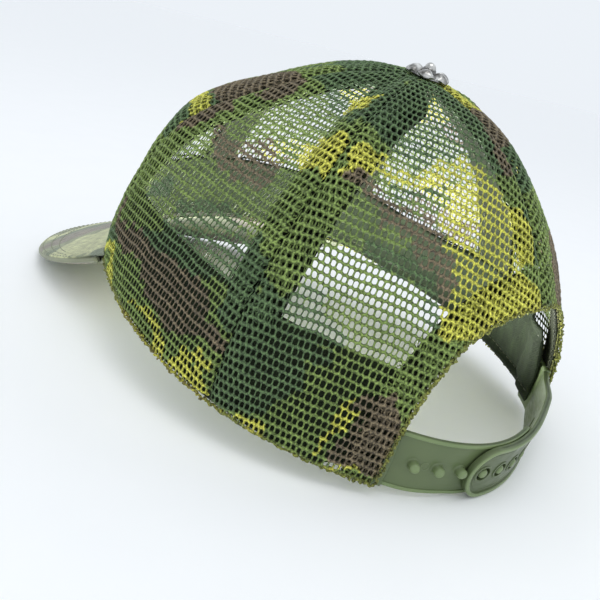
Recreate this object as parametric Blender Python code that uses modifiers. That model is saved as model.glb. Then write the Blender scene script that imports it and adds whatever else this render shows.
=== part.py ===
"""Six-panel mesh trucker cap with a curved visor and a snap closure.

The cap is drawn in its own wearing frame, in millimetres: front = -Y, the wearer's left = +X,
+Z up, rim plane at the back = z 0. The empty "cap_frame" then pitches it back, so that it
stands on the visor's edge and the rear rim, as a cap does on a table.
"""
import math

import bmesh
import bpy
import numpy as np
from mathutils import Matrix, Vector

MM = 0.001

# ---- crown: driving dimensions in millimetres and degrees --------------------------------
HALF_LENGTH = 97.0
HALF_WIDTH = 86.0
CROWN_HEIGHT = 106.5
APEX_Y = -1.3
FRONT_RIM_RISE = 4.6
FRONT_SEAM = 50.0
REAR_SEAM = 105.0
BACK_SEAM = 180.0
PANEL_THICKNESS = 1.0
SEAM_GAP = 0.9
APEX_HOLE = 3.5
ROUNDING_FRONT, ROUNDING_SIDE, ROUNDING_BACK = 1.83, 1.64, 2.28
RISE_FRONT, RISE_SIDE, RISE_BACK = 2.28, 1.5, 1.4
PANEL_ROWS = 24

# Soft bulges of the cloth: height, seam angle, half-angle, height angle, half-height angle.
BULGES = (
    (4.5, 50.0, 14.3, 12.7, 22.0),
    (5.7, 39.5, 25.0, 35.0, 12.0),
    (3.4, 141.0, 20.0, 20.0, 15.0),
)
REAR_SEAM_BULGE = 6.0
REAR_SEAM_BULGE_ANGLE = 12.0

# ---- rear opening -------------------------------------------------------------------------
OPENING_ANGLE = 140.6
OPENING_HEIGHT = 57.5
OPENING_SQUARENESS = 0.8

# ---- lining: everything sewn inside the crown ---------------------------------------------
LINING_DEPTH = 2.0
TAPE_WIDTH = 12.0
TAPE_THICKNESS = 0.6
TAPE_DEPTH = 2.2
TAPE_BOTTOM = 38.0
TAPE_TOP_RADIUS = 8.5
TAPE_TAPER = 0.38
BAND_THICKNESS = 1.5
BAND_BOTTOM = 1.0
BAND_TOP = 35.0
BAND_END = 127.0
BINDING_WIDTH = 10.0
BINDING_THICKNESS = 0.8
BINDING_START = 23.0

# ---- visor --------------------------------------------------------------------------------
VISOR_LENGTH = 64.0
VISOR_ANGLE = 54.3
VISOR_ROLL_RADIUS = 126.0
VISOR_SLOPE = 0.646
VISOR_ROOT_HEIGHT = 2.6
VISOR_CORNER_LENGTH = 3.5
VISOR_SIDE_POWER = 0.86
VISOR_FRONT_POWER = 0.89
VISOR_GAP = 0.7
BOARD_THICKNESS = 1.6
BOARD_INSET = 2.0
COVER_THICKNESS = 0.7
LAYER_GAP = 0.3

# ---- closure straps -----------------------------------------------------------------------
STRAP_WIDTH = 20.0
STRAP_DEPTH = 2.2
STRAP_RADIUS = 83.0
STRAP_TIP_LENGTH = 9.0
STRAP_TAB_LENGTH = 13.0
STRAP_OVERHANG = 2.6
STRAP_GAP = 0.3
STRAP_RIM = 1.4
PEG_STRAP_THICKNESS = 1.6
PEG_STRAP_RECESS = 0.4
PEG_STRAP_LENGTH = 64.0
HOLE_STRAP_THICKNESS = 2.4
HOLE_STRAP_RECESS = 0.8
SNAP_PITCH = 8.3
SNAP_COUNT = 7
FIRST_PEG = 6.8
PEG_RADIUS = 1.7
PEG_HEIGHT = 3.0
HOLE_RADIUS = 2.75
HOLES_ENGAGED = 4
OVERLAP_SHIFT_OUT = 1.0
OVERLAP_SHIFT_IN = 1.7
SHIFT_START, SHIFT_END = 4.0, 24.0
LAP_BULGE = 3.0
BEND_STEP = 5.0

# ---- ornament on the crown's apex ---------------------------------------------------------
ORNAMENT_LIFT = 0.4
LOBE_COUNT = 6
LOBE_CENTRE = 4.9
LOBE_SIZE = (2.7, 2.4, 2.3)
DOME_SIZE = (6.6, 6.6, 2.4)
BEAD_RADIUS = 2.1
BEAD_HEIGHT = 3.9
NECK_RADIUS = 2.0
STUD_RADIUS = 1.0
SOCKET_RADIUS = 1.3
SOCKET_DEPTH = 2.3
STUD_HEAD_RADIUS = 3.2
WASHER_RADIUS = 6.0

# ---- how the cap stands -------------------------------------------------------------------
PITCH_BACK = 9.1
LIFT = 15.22
SHIFT_Y = 34.18


# ==== collections, materials, objects ======================================================
def new_collection(name):
    collection = bpy.data.collections.new(name)
    bpy.context.scene.collection.children.link(collection)
    return collection


def clear_scene():
    for item in list(bpy.data.objects):
        bpy.data.objects.remove(item, do_unlink=True)


clear_scene()
PARTS = new_collection("trucker_mesh_cap")
CUTTERS = new_collection("cutters")


def principled(name, colour, roughness, metallic=0.0):
    material = bpy.data.materials.new(name)
    material.use_nodes = True
    shader = material.node_tree.nodes["Principled BSDF"]
    shader.inputs["Base Color"].default_value = (*colour, 1.0)
    shader.inputs["Roughness"].default_value = roughness
    shader.inputs["Metallic"].default_value = metallic
    return material


MESH_LIGHT = principled("mesh_cloth", (0.12, 0.17, 0.05), 0.85)
TAPE_CLOTH = principled("seam_tape", (0.05, 0.07, 0.03), 0.9)
BAND_CLOTH = principled("sweatband_cloth", (0.04, 0.06, 0.03), 0.9)
BINDING_CLOTH = principled("binding_cloth", (0.07, 0.08, 0.03), 0.9)
VISOR_CLOTH = principled("visor_cloth", (0.2, 0.2, 0.12), 0.85)
UNDER_CLOTH = principled("visor_under_cloth", (0.08, 0.11, 0.06), 0.85)
BOARD_PLASTIC = principled("visor_board_plastic", (0.6, 0.6, 0.55), 0.5)
STRAP_PLASTIC = principled("strap_plastic", (0.2, 0.25, 0.12), 0.35)
SILVER = principled("antique_silver", (0.45, 0.43, 0.4), 0.35, 1.0)
STEEL = principled("rivet_steel", (0.5, 0.5, 0.5), 0.4, 1.0)

FRAME = bpy.data.objects.new("cap_frame", None)
PARTS.objects.link(FRAME)
FRAME.rotation_euler = (-math.radians(PITCH_BACK), 0.0, 0.0)
FRAME.location = (0.0, SHIFT_Y * MM, LIFT * MM)


def add_part(name, mesh, material, origin=(0.0, 0.0, 0.0), smooth_angle=50.0):
    """A finished piece, its mesh in metres in the wearing frame, its origin in millimetres."""
    part = bpy.data.objects.new(name, mesh)
    PARTS.objects.link(part)
    part.parent = FRAME
    mesh.materials.clear()
    mesh.materials.append(material)
    offset = Vector(origin) * MM
    for vertex in mesh.vertices:
        vertex.co -= offset
    part.location = offset
    mesh.shade_smooth()
    mesh.set_sharp_from_angle(angle=math.radians(smooth_angle))
    return part


# ==== crown surface ========================================================================
def radians(values):
    return np.radians(np.asarray(values, float))


def gaussian(distance, width):
    return np.exp(-((distance / width) ** 2))


def angle_between(phi, seam):
    return (np.asarray(phi, float) - seam + 180.0) % 360.0 - 180.0


def profile_powers(phi):
    """How round the plan and the rise are: they change from the front to the side and back."""
    front = np.clip(np.cos(radians(phi)), 0.0, 1.0) ** 1.5
    back = np.clip(-np.cos(radians(phi)), 0.0, 1.0) ** 1.5
    rounding = ROUNDING_SIDE + (ROUNDING_FRONT - ROUNDING_SIDE) * front
    rounding = rounding + (ROUNDING_BACK - ROUNDING_SIDE) * back
    rise = RISE_SIDE + (RISE_FRONT - RISE_SIDE) * front + (RISE_BACK - RISE_SIDE) * back
    return rounding, rise


def rim_height(phi):
    return 0.5 * FRONT_RIM_RISE * (1.0 + np.cos(radians(phi)))


def cloth_bulge(phi, psi):
    total = np.zeros(np.broadcast(phi, psi).shape)
    for side in (1.0, -1.0):
        for height, seam, width, centre, spread in BULGES:
            across = gaussian(angle_between(phi, side * seam), width)
            total += height * across * gaussian(psi - centre, spread)
        across = gaussian(angle_between(phi, side * REAR_SEAM), REAR_SEAM_BULGE_ANGLE)
        total += REAR_SEAM_BULGE * across * np.sin(2.0 * radians(psi))
    return total


def crown_surface(phi, psi):
    """The crown's outer face. phi turns from the front to the left; psi climbs to the apex."""
    phi, psi = np.broadcast_arrays(np.asarray(phi, float), np.asarray(psi, float))
    rounding, rise = profile_powers(phi)
    out = np.clip(np.cos(radians(psi)), 0.0, 1.0)
    up = np.clip(np.sin(radians(psi)), 0.0, 1.0)
    reach, climb = out ** (2.0 / rounding), up ** (2.0 / rise)
    sine, cosine = np.sin(radians(phi)), np.cos(radians(phi))
    x = HALF_WIDTH * sine * reach
    y = -HALF_LENGTH * cosine * reach + APEX_Y * climb
    z = rim_height(phi) * (1.0 - climb) + CROWN_HEIGHT * climb
    bulge = cloth_bulge(phi, psi)
    return np.stack([x + bulge * sine * out, y - bulge * cosine * out, z + bulge * up], -1)


def crown_layer(phi, psi, depth):
    """The crown's surface moved inwards by depth along its normal."""
    step = 1.0
    phi, psi = np.broadcast_arrays(np.asarray(phi, float), np.asarray(psi, float))
    low = np.minimum(psi, 88.0)
    around = crown_surface(phi + step, low) - crown_surface(phi - step, low)
    upward = crown_surface(phi, low + step) - crown_surface(phi, np.maximum(low - step, 0.0))
    normal = np.cross(around, upward)
    normal /= np.linalg.norm(normal, axis=-1, keepdims=True)
    return crown_surface(phi, psi) - normal * np.asarray(depth, float)[..., None]


def psi_at_height(phi, height):
    _, rise = profile_powers(phi)
    low = rim_height(phi)
    climb = np.clip((height - low) / (CROWN_HEIGHT - low), 0.0, 1.0)
    return np.degrees(np.arcsin(climb ** (rise / 2.0)))


def plan_radius(phi):
    return np.hypot(HALF_WIDTH * np.sin(radians(phi)), HALF_LENGTH * np.cos(radians(phi)))


def psi_at_radius(phi, radius):
    rounding, _ = profile_powers(phi)
    return np.degrees(np.arccos(np.clip(radius / plan_radius(phi), 0.0, 1.0) ** (rounding / 2.0)))


def radius_at(phi, psi):
    rounding, _ = profile_powers(phi)
    return plan_radius(phi) * np.clip(np.cos(radians(psi)), 0.0, 1.0) ** (2.0 / rounding)


def opening_point(turn):
    """A point on the rear opening's left edge: turn 0 at the corner, 90 at the top."""
    spread = BACK_SEAM - OPENING_ANGLE
    phi = BACK_SEAM - spread * np.clip(np.cos(radians(turn)), 0.0, 1.0) ** OPENING_SQUARENESS
    height = OPENING_HEIGHT * np.clip(np.sin(radians(turn)), 0.0, 1.0) ** OPENING_SQUARENESS
    return phi, height


# ==== sheets ===============================================================================
def mapped_grid(columns, rows, mapping):
    """A flat grid carried onto a surface: mapping takes u, v from 0 to 1 to millimetres."""
    bm = bmesh.new()
    bmesh.ops.create_grid(bm, x_segments=columns, y_segments=rows, size=0.5)
    flat = np.array([vertex.co[:2] for vertex in bm.verts]) + 0.5
    points = mapping(flat[:, 0], flat[:, 1]) * MM
    for vertex, point in zip(bm.verts, points):
        vertex.co = point
    mesh = bpy.data.meshes.new("sheet")
    bm.to_mesh(mesh)
    bm.free()
    return mesh


def add_sheet(name, columns, rows, mapping, thickness, material):
    part = add_part(name, mapped_grid(columns, rows, mapping), material)
    shell = part.modifiers.new("thickness", "SOLIDIFY")
    shell.thickness = thickness * MM
    shell.offset = -1.0
    shell.use_even_offset = True
    return part


def closed_up(phi_low, phi_high, u, psi):
    """phi between two seams, half a seam gap short of each at that seam's own radius."""
    low = phi_low + np.degrees(0.5 * SEAM_GAP / np.maximum(radius_at(phi_low, psi), 1.0))
    high = phi_high - np.degrees(0.5 * SEAM_GAP / np.maximum(radius_at(phi_high, psi), 1.0))
    return low + (high - low) * u


def add_plain_panel(name, phi_low, phi_high, columns):
    def mapping(u, v):
        phi = phi_low + (phi_high - phi_low) * u
        psi = v * psi_at_radius(phi, APEX_HOLE)
        return crown_surface(closed_up(phi_low, phi_high, u, psi), psi)

    return add_sheet(name, columns, PANEL_ROWS, mapping, PANEL_THICKNESS, MESH_LIGHT)


REAR_PLAIN_COLUMNS = 8
REAR_OPENING_COLUMNS = 9


def rear_panel_bottom(u):
    """Where a rear panel's column starts: on the rim up to the corner, then on the opening."""
    split = REAR_PLAIN_COLUMNS / (REAR_PLAIN_COLUMNS + REAR_OPENING_COLUMNS)
    on_rim = np.clip(u / split, 0.0, 1.0)
    turn = 90.0 * np.clip((u - split) / (1.0 - split), 0.0, 1.0)
    phi, height = opening_point(turn)
    phi = np.where(u < split, REAR_SEAM + (OPENING_ANGLE - REAR_SEAM) * on_rim, phi)
    height = np.where(u < split, 0.0, height)
    return phi, np.maximum(height, rim_height(phi))


def add_rear_panel(name, side):
    def mapping(u, v):
        along = u if side > 0 else 1.0 - u
        phi, height = rear_panel_bottom(along)
        bottom = psi_at_height(phi, height)
        psi = bottom + v * (psi_at_radius(phi, APEX_HOLE) - bottom)
        share = (phi - REAR_SEAM) / (BACK_SEAM - REAR_SEAM)
        return crown_surface(side * closed_up(REAR_SEAM, BACK_SEAM, share, psi), psi)

    columns = REAR_PLAIN_COLUMNS + REAR_OPENING_COLUMNS
    return add_sheet(name, columns, PANEL_ROWS, mapping, PANEL_THICKNESS, MESH_LIGHT)


def build_panels():
    add_plain_panel("front_panel_left", 0.0, FRONT_SEAM, 8)
    add_plain_panel("front_panel_right", -FRONT_SEAM, 0.0, 8)
    add_plain_panel("side_panel_left", FRONT_SEAM, REAR_SEAM, 8)
    add_plain_panel("side_panel_right", -REAR_SEAM, -FRONT_SEAM, 8)
    add_rear_panel("rear_panel_left", 1.0)
    add_rear_panel("rear_panel_right", -1.0)


# ==== lining ===============================================================================
def add_seam_tape(name, seam, bottom):
    def mapping(u, v):
        low = psi_at_height(seam, bottom)
        psi = low + v * (psi_at_radius(seam, TAPE_TOP_RADIUS) - low)
        radius = radius_at(seam, psi)
        half_width = np.minimum(0.5 * TAPE_WIDTH, TAPE_TAPER * radius)
        phi = seam + (2.0 * u - 1.0) * np.degrees(half_width / radius)
        return crown_layer(phi, psi, np.full(len(u), TAPE_DEPTH))

    return add_sheet(name, 2, 14, mapping, TAPE_THICKNESS, TAPE_CLOTH)


def build_seam_tapes():
    add_seam_tape("seam_tape_front", 0.0, TAPE_BOTTOM)
    add_seam_tape("seam_tape_front_left", FRONT_SEAM, TAPE_BOTTOM)
    add_seam_tape("seam_tape_front_right", -FRONT_SEAM, TAPE_BOTTOM)
    add_seam_tape("seam_tape_rear_left", REAR_SEAM, TAPE_BOTTOM)
    add_seam_tape("seam_tape_rear_right", -REAR_SEAM, TAPE_BOTTOM)
    add_seam_tape("seam_tape_back", BACK_SEAM, OPENING_HEIGHT + BINDING_WIDTH + 2.0)


def build_sweatband():
    def mapping(u, v):
        phi = BAND_END * (2.0 * u - 1.0)
        bottom = rim_height(phi) + BAND_BOTTOM
        psi = psi_at_height(phi, bottom + v * (BAND_TOP - bottom))
        return crown_layer(phi, psi, np.full(len(u), LINING_DEPTH))

    return add_sheet("sweatband", 50, 2, mapping, BAND_THICKNESS, BAND_CLOTH)


def opening_outward(turn):
    """Direction away from the opening in the plane of phi arc and height, in millimetres."""
    step = 1.0
    phi_a, height_a = opening_point(np.maximum(turn - step, 0.0))
    phi_b, height_b = opening_point(np.minimum(turn + step, 90.0))
    arc = radians(phi_b - phi_a) * plan_radius(BACK_SEAM)
    rise = height_b - height_a
    length = np.maximum(np.hypot(arc, rise), 1e-9)
    return -rise / length, arc / length


def build_arch_binding():
    start = math.degrees(math.asin((BINDING_START / OPENING_HEIGHT) ** (1.0 / OPENING_SQUARENESS)))

    def mapping(u, v):
        around = 2.0 * u - 1.0
        side = np.where(around < 0.0, 1.0, -1.0)
        turn = start + (90.0 - start) * (1.0 - np.abs(around))
        phi, height = opening_point(turn)
        across, upward = opening_outward(turn)
        reach = 0.8 + BINDING_WIDTH * v
        wide = phi + np.degrees(reach * across / plan_radius(BACK_SEAM))
        psi = psi_at_height(wide, height + reach * upward)
        turned = np.where(side > 0.0, wide, 2.0 * BACK_SEAM - wide)
        return crown_layer(turned, psi, np.full(len(u), LINING_DEPTH))

    return add_sheet("rear_arch_binding", 32, 2, mapping, BINDING_THICKNESS, BINDING_CLOTH)


# ==== visor ================================================================================
def visor_middle(u, v):
    """The visor's middle surface: u from right to left, v from the outer edge to the crown."""
    across = 2.0 * u - 1.0
    phi = across * VISOR_ANGLE
    rim = crown_surface(phi, np.zeros(len(u)))
    inner_x = rim[:, 0] + VISOR_GAP * np.sin(radians(phi))
    inner_y = rim[:, 1] - VISOR_GAP * np.cos(radians(phi))
    corner = crown_surface(VISOR_ANGLE, 0.0)
    corner_x = corner[0] + VISOR_GAP * math.sin(math.radians(VISOR_ANGLE))
    corner_y = corner[1] - VISOR_CORNER_LENGTH
    sine, cosine = np.sin(radians(90.0 * across)), np.cos(radians(90.0 * across))
    outer_x = corner_x * np.sign(sine) * np.abs(sine) ** VISOR_SIDE_POWER
    outer_y = corner_y - (HALF_LENGTH + VISOR_LENGTH + corner_y) * np.clip(cosine, 0.0, 1.0) ** VISOR_FRONT_POWER
    x = outer_x + (inner_x - outer_x) * v
    y = outer_y + (inner_y - outer_y) * v
    roll = VISOR_ROLL_RADIUS - np.sqrt(VISOR_ROLL_RADIUS**2 - x**2)
    z = VISOR_ROOT_HEIGHT + VISOR_SLOPE * (y + HALF_LENGTH) - roll
    return np.stack([x, y, z], -1)


def visor_layer(u, v, height):
    """The middle surface moved up its normal by height."""
    point = visor_middle(u, v)
    slope_x = -point[:, 0] / np.sqrt(VISOR_ROLL_RADIUS**2 - point[:, 0] ** 2)
    normal = np.stack([-slope_x, np.full(len(u), -VISOR_SLOPE), np.ones(len(u))], -1)
    normal /= np.linalg.norm(normal, axis=-1, keepdims=True)
    return point + normal * height


def add_visor_sheet(name, top, thickness, inset, material):
    margin = inset / VISOR_LENGTH

    def mapping(u, v):
        narrowed = margin + (1.0 - 2.0 * margin) * u
        return visor_layer(narrowed, margin + (1.0 - margin) * v, top)

    return add_sheet(name, 24, 5, mapping, thickness, material)


def build_visor():
    board_top = 0.5 * BOARD_THICKNESS
    cover_top = board_top + LAYER_GAP + COVER_THICKNESS
    add_visor_sheet("visor_top_cover", cover_top, COVER_THICKNESS, 0.0, VISOR_CLOTH)
    add_visor_sheet("visor_board", board_top, BOARD_THICKNESS, BOARD_INSET, BOARD_PLASTIC)
    under_top = -board_top - LAYER_GAP
    add_visor_sheet("visor_under_cover", under_top, COVER_THICKNESS, 0.0, UNDER_CLOTH)


# ==== closure straps =======================================================================
HINGE_ANGLE = OPENING_ANGLE + math.degrees((STRAP_OVERHANG + 0.5 * STRAP_GAP) / 91.0)


def hinge_line(side, depth):
    """Bottom and top of a strap's living hinge, depth under the crown's outer face."""
    heights = np.array([0.0, STRAP_WIDTH])
    phi = np.full(2, side * HINGE_ANGLE)
    return crown_layer(phi, psi_at_height(phi, heights), np.full(2, depth))


HINGE_X, HINGE_Y = hinge_line(1.0, STRAP_DEPTH)[0][:2]
CIRCLE_Y = HINGE_Y - math.sqrt(STRAP_RADIUS**2 - HINGE_X**2)
HINGE_TURN = math.asin(HINGE_X / STRAP_RADIUS)
TOP_X, TOP_Y = hinge_line(1.0, STRAP_DEPTH)[1][:2]
ROOT_LEAN = (STRAP_RADIUS - math.hypot(TOP_X, TOP_Y - CIRCLE_Y)) / STRAP_WIDTH


def smooth_step(value, low, high):
    t = min(max((value - low) / (high - low), 0.0), 1.0)
    return t * t * (3.0 - 2.0 * t)


def bent_point(side, shift, along, height, proud):
    """A strap point: along it from its hinge, up it, and proud of its outer face."""
    turned = smooth_step(along, SHIFT_START, SHIFT_END)
    angle = side * (HINGE_TURN - along / STRAP_RADIUS)
    radius = STRAP_RADIUS + LAP_BULGE * math.sin(math.pi * angle / HINGE_TURN)
    radius += shift * turned + proud - ROOT_LEAN * (1.0 - turned) * height
    return Vector((radius * math.sin(angle), CIRCLE_Y + radius * math.cos(angle), height))


def rounded_strip(length, thickness):
    """A flat strip along +X with one round end, its outer face at z 0, as a mesh in mm."""
    curve = bpy.data.curves.new("strip", "CURVE")
    curve.dimensions = "2D"
    curve.fill_mode = "BOTH"
    curve.extrude = 0.5 * thickness
    middle = 0.5 * STRAP_WIDTH
    outline = [(0.5 * STRAP_GAP, 0.0)]
    for step in range(13):
        angle = math.radians(-90.0 + 15.0 * step)
        outline.append((
            length - STRAP_TIP_LENGTH + STRAP_TIP_LENGTH * math.cos(angle),
            middle + middle * math.sin(angle),
        ))
    outline.append((0.5 * STRAP_GAP, STRAP_WIDTH))
    spline = curve.splines.new("POLY")
    spline.points.add(len(outline) - 1)
    for point, (x, y) in zip(spline.points, outline):
        point.co = (x, y, 0.0, 1.0)
    spline.use_cyclic_u = True
    holder = bpy.data.objects.new("strip", curve)
    CUTTERS.objects.link(holder)
    holder.location = (0.0, 0.0, -0.5 * thickness)
    bpy.context.view_layer.update()
    evaluated = holder.evaluated_get(bpy.context.evaluated_depsgraph_get())
    mesh = bpy.data.meshes.new_from_object(evaluated)
    mesh.transform(holder.matrix_world)
    bpy.data.objects.remove(holder, do_unlink=True)
    return mesh


def with_raised_rim(mesh, recess):
    """Sinks the strip's outer face inside a border, which leaves a raised rim."""
    bm = bmesh.new()
    bm.from_mesh(mesh)
    bmesh.ops.remove_doubles(bm, verts=bm.verts, dist=0.0001)
    bmesh.ops.recalc_face_normals(bm, faces=bm.faces)
    outer = [face for face in bm.faces if face.normal.z > 0.5]
    bmesh.ops.inset_region(bm, faces=outer, thickness=STRAP_RIM, use_even_offset=True)
    floor = {vertex for face in outer for vertex in face.verts}
    for vertex in floor:
        vertex.co.z -= recess
    bm.to_mesh(mesh)
    bm.free()
    return mesh


def snap_positions(first):
    return [first + SNAP_PITCH * index for index in range(SNAP_COUNT)]


def snap_cylinders(first, radius, bottom, top, bevel):
    """A row of upright cylinders along the strip's middle, as one mesh in millimetres."""
    bm = bmesh.new()
    for along in snap_positions(first):
        made = bmesh.ops.create_cone(
            bm, cap_ends=True, segments=14, radius1=radius, radius2=radius, depth=top - bottom
        )
        centre = (along, 0.5 * STRAP_WIDTH, 0.5 * (top + bottom))
        bmesh.ops.translate(bm, verts=made["verts"], vec=centre)
    if bevel > 0.0:
        crown_edges = [e for e in bm.edges if all(abs(v.co.z - top) < 1e-4 for v in e.verts)]
        bmesh.ops.bevel(bm, geom=crown_edges, offset=bevel, segments=1, affect="EDGES")
    mesh = bpy.data.meshes.new("snaps")
    bm.to_mesh(mesh)
    bm.free()
    return mesh


def joined_or_cut(mesh, tool_mesh, operation):
    base = bpy.data.objects.new("flat_strap", mesh)
    tool = bpy.data.objects.new("strap_tool", tool_mesh)
    for item in (base, tool):
        CUTTERS.objects.link(item)
        item.hide_render = True
        item.display_type = "WIRE"
    boolean = base.modifiers.new("snaps", "BOOLEAN")
    boolean.operation = operation
    boolean.object = tool
    boolean.solver = "EXACT"
    bpy.context.view_layer.update()
    evaluated = base.evaluated_get(bpy.context.evaluated_depsgraph_get())
    result = bpy.data.meshes.new_from_object(evaluated)
    for item in (base, tool):
        bpy.data.objects.remove(item, do_unlink=True)
    return result


def bend_strap(mesh, side, shift, length):
    """Slices the flat strap crosswise and wraps it round the wearer's head."""
    bm = bmesh.new()
    bm.from_mesh(mesh)
    cut = BEND_STEP
    while cut < length:
        geometry = bm.verts[:] + bm.edges[:] + bm.faces[:]
        bmesh.ops.bisect_plane(bm, geom=geometry, plane_co=(cut, 0, 0), plane_no=(1, 0, 0), dist=0.01)
        cut += BEND_STEP
    for vertex in bm.verts:
        along, height, proud = vertex.co
        vertex.co = bent_point(side, shift, along, height, proud) * MM
    bmesh.ops.triangulate(bm, faces=bm.faces)
    bmesh.ops.recalc_face_normals(bm, faces=bm.faces)
    bm.to_mesh(mesh)
    bm.free()
    return mesh


def strap_tab_mapping(side):
    """The sewn root, which lies under the panel's corner and ends at the living hinge."""
    spread = math.degrees(STRAP_TAB_LENGTH / 91.0)
    hinge_end = HINGE_ANGLE - math.degrees(0.5 * STRAP_GAP / 91.0)

    def mapping(u, v):
        along = u if side > 0 else 1.0 - u
        phi = side * (hinge_end - spread + spread * along)
        psi = psi_at_height(phi, STRAP_WIDTH * v)
        return crown_layer(phi, psi, np.full(len(u), STRAP_DEPTH))

    return mapping


FIRST_HOLE_FROM_TIP = 6.2


def closure_arc():
    """Length of the outer face from one hinge to the other."""
    return 2.0 * HINGE_TURN * STRAP_RADIUS


def build_peg_strap():
    add_sheet("peg_strap_root", 3, 3, strap_tab_mapping(1.0), PEG_STRAP_THICKNESS, STRAP_PLASTIC)
    flat = with_raised_rim(rounded_strip(PEG_STRAP_LENGTH, PEG_STRAP_THICKNESS), PEG_STRAP_RECESS)
    floor = -PEG_STRAP_RECESS
    pegs = snap_cylinders(FIRST_PEG, PEG_RADIUS, floor - 0.6, floor + PEG_HEIGHT, 0.6)
    mesh = bend_strap(joined_or_cut(flat, pegs, "UNION"), 1.0, -OVERLAP_SHIFT_IN, PEG_STRAP_LENGTH)
    hinge = hinge_line(1.0, STRAP_DEPTH + PEG_STRAP_THICKNESS)[0]
    return add_part("peg_strap", mesh, STRAP_PLASTIC, hinge, 35.0)


def build_hole_strap():
    add_sheet("hole_strap_root", 3, 3, strap_tab_mapping(-1.0), HOLE_STRAP_THICKNESS, STRAP_PLASTIC)
    last_engaged = FIRST_PEG + SNAP_PITCH * (SNAP_COUNT - HOLES_ENGAGED)
    tip_hole = closure_arc() - last_engaged
    length = tip_hole + FIRST_HOLE_FROM_TIP
    flat = with_raised_rim(rounded_strip(length, HOLE_STRAP_THICKNESS), HOLE_STRAP_RECESS)
    first = tip_hole - SNAP_PITCH * (SNAP_COUNT - 1)
    holes = snap_cylinders(first, HOLE_RADIUS, -5.0, 5.0, 0.0)
    mesh = bend_strap(joined_or_cut(flat, holes, "DIFFERENCE"), -1.0, OVERLAP_SHIFT_OUT, length)
    return add_part("hole_strap", mesh, STRAP_PLASTIC, hinge_line(-1.0, STRAP_DEPTH)[0], 35.0)


# ==== ornament =============================================================================
def ellipsoids(size, radius, count):
    """One or more alike ellipsoids in a ring about the apex axis, their centres at z 0."""
    bm = bmesh.new()
    for index in range(count):
        made = bmesh.ops.create_uvsphere(bm, u_segments=14, v_segments=8, radius=1.0)
        bmesh.ops.scale(bm, verts=made["verts"], vec=size)
        bmesh.ops.translate(bm, verts=made["verts"], vec=(radius, 0.0, 0.0))
        turn = Matrix.Rotation(math.radians(360.0 * (index + 0.5) / count), 3, "Z")
        bmesh.ops.rotate(bm, verts=made["verts"], cent=(0.0, 0.0, 0.0), matrix=turn)
    mesh = bpy.data.meshes.new("ellipsoids")
    bm.to_mesh(mesh)
    bm.free()
    return mesh


def cylinder_mesh(radius, bottom, top, segments=24):
    bm = bmesh.new()
    bmesh.ops.create_cone(
        bm, cap_ends=True, segments=segments, radius1=radius, radius2=radius, depth=top - bottom
    )
    bmesh.ops.translate(bm, verts=bm.verts, vec=(0.0, 0.0, 0.5 * (top + bottom)))
    mesh = bpy.data.meshes.new("cylinder")
    bm.to_mesh(mesh)
    bm.free()
    return mesh


def build_ornament():
    """A plain lobed concho with a bead on its middle and a blind socket below."""
    base = CROWN_HEIGHT + ORNAMENT_LIFT
    body = ellipsoids(DOME_SIZE, 0.0, 1)
    body = joined_or_cut(body, ellipsoids(LOBE_SIZE, LOBE_CENTRE, LOBE_COUNT), "UNION")
    body = joined_or_cut(body, cylinder_mesh(NECK_RADIUS, 0.4, BEAD_HEIGHT), "UNION")
    bead = ellipsoids((BEAD_RADIUS,) * 3, 0.0, 1)
    for vertex in bead.vertices:
        vertex.co.z += BEAD_HEIGHT
    body = joined_or_cut(body, bead, "UNION")
    body = joined_or_cut(body, cylinder_mesh(20.0, -10.0, 0.0), "DIFFERENCE")
    body = joined_or_cut(body, cylinder_mesh(SOCKET_RADIUS, -1.0, SOCKET_DEPTH), "DIFFERENCE")
    for vertex in body.vertices:
        vertex.co = (vertex.co + Vector((0.0, APEX_Y, base))) * MM
    return add_part("ornament", body, SILVER, (0.0, APEX_Y, base))


def add_turned(name, profile, material):
    """A solid of revolution about the apex axis; profile is (radius, height) top to bottom."""
    bm = bmesh.new()
    previous = None
    for radius, height in profile:
        vertex = bm.verts.new((radius * MM, 0.0, height * MM))
        if previous is not None:
            bm.edges.new((previous, vertex))
        previous = vertex
    mesh = bpy.data.meshes.new(name)
    bm.to_mesh(mesh)
    bm.free()
    part = add_part(name, mesh, material)
    part.location = (0.0, APEX_Y * MM, 0.0)
    turn = part.modifiers.new("turn", "SCREW")
    turn.steps = 24
    turn.render_steps = 24
    turn.use_merge_vertices = True
    turn.merge_threshold = 0.00001
    return part


def build_rivet():
    seat = CROWN_HEIGHT - 3.4
    ring = [
        (1.6, seat + 0.9),
        (WASHER_RADIUS, seat + 0.3),
        (WASHER_RADIUS, seat - 0.3),
        (1.6, seat),
        (1.6, seat + 0.9),
    ]
    add_turned("ornament_back_washer", ring, STEEL)
    head_top = seat - 0.4
    stud = [
        (0.0, CROWN_HEIGHT + ORNAMENT_LIFT + 2.0),
        (STUD_RADIUS, CROWN_HEIGHT + ORNAMENT_LIFT + 2.0),
        (STUD_RADIUS, head_top),
        (STUD_HEAD_RADIUS, head_top),
        (STUD_HEAD_RADIUS - 0.5, head_top - 1.1),
        (0.0, head_top - 1.4),
    ]
    add_turned("ornament_stud", stud, STEEL)


def build_cap():
    build_panels()
    build_seam_tapes()
    build_sweatband()
    build_arch_binding()
    build_visor()
    build_peg_strap()
    build_hole_strap()
    build_ornament()
    build_rivet()


build_cap()
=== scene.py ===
"""The looks of the mesh trucker cap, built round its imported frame.

Shapes are drawn in the cap's wearing frame, in millimetres: front = -Y, the wearer's left = +X,
+Z up, the rear rim at z 0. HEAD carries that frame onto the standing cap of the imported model.
"""

import math

import bmesh
import bpy
import numpy as np
from mathutils import Matrix, Vector


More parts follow.
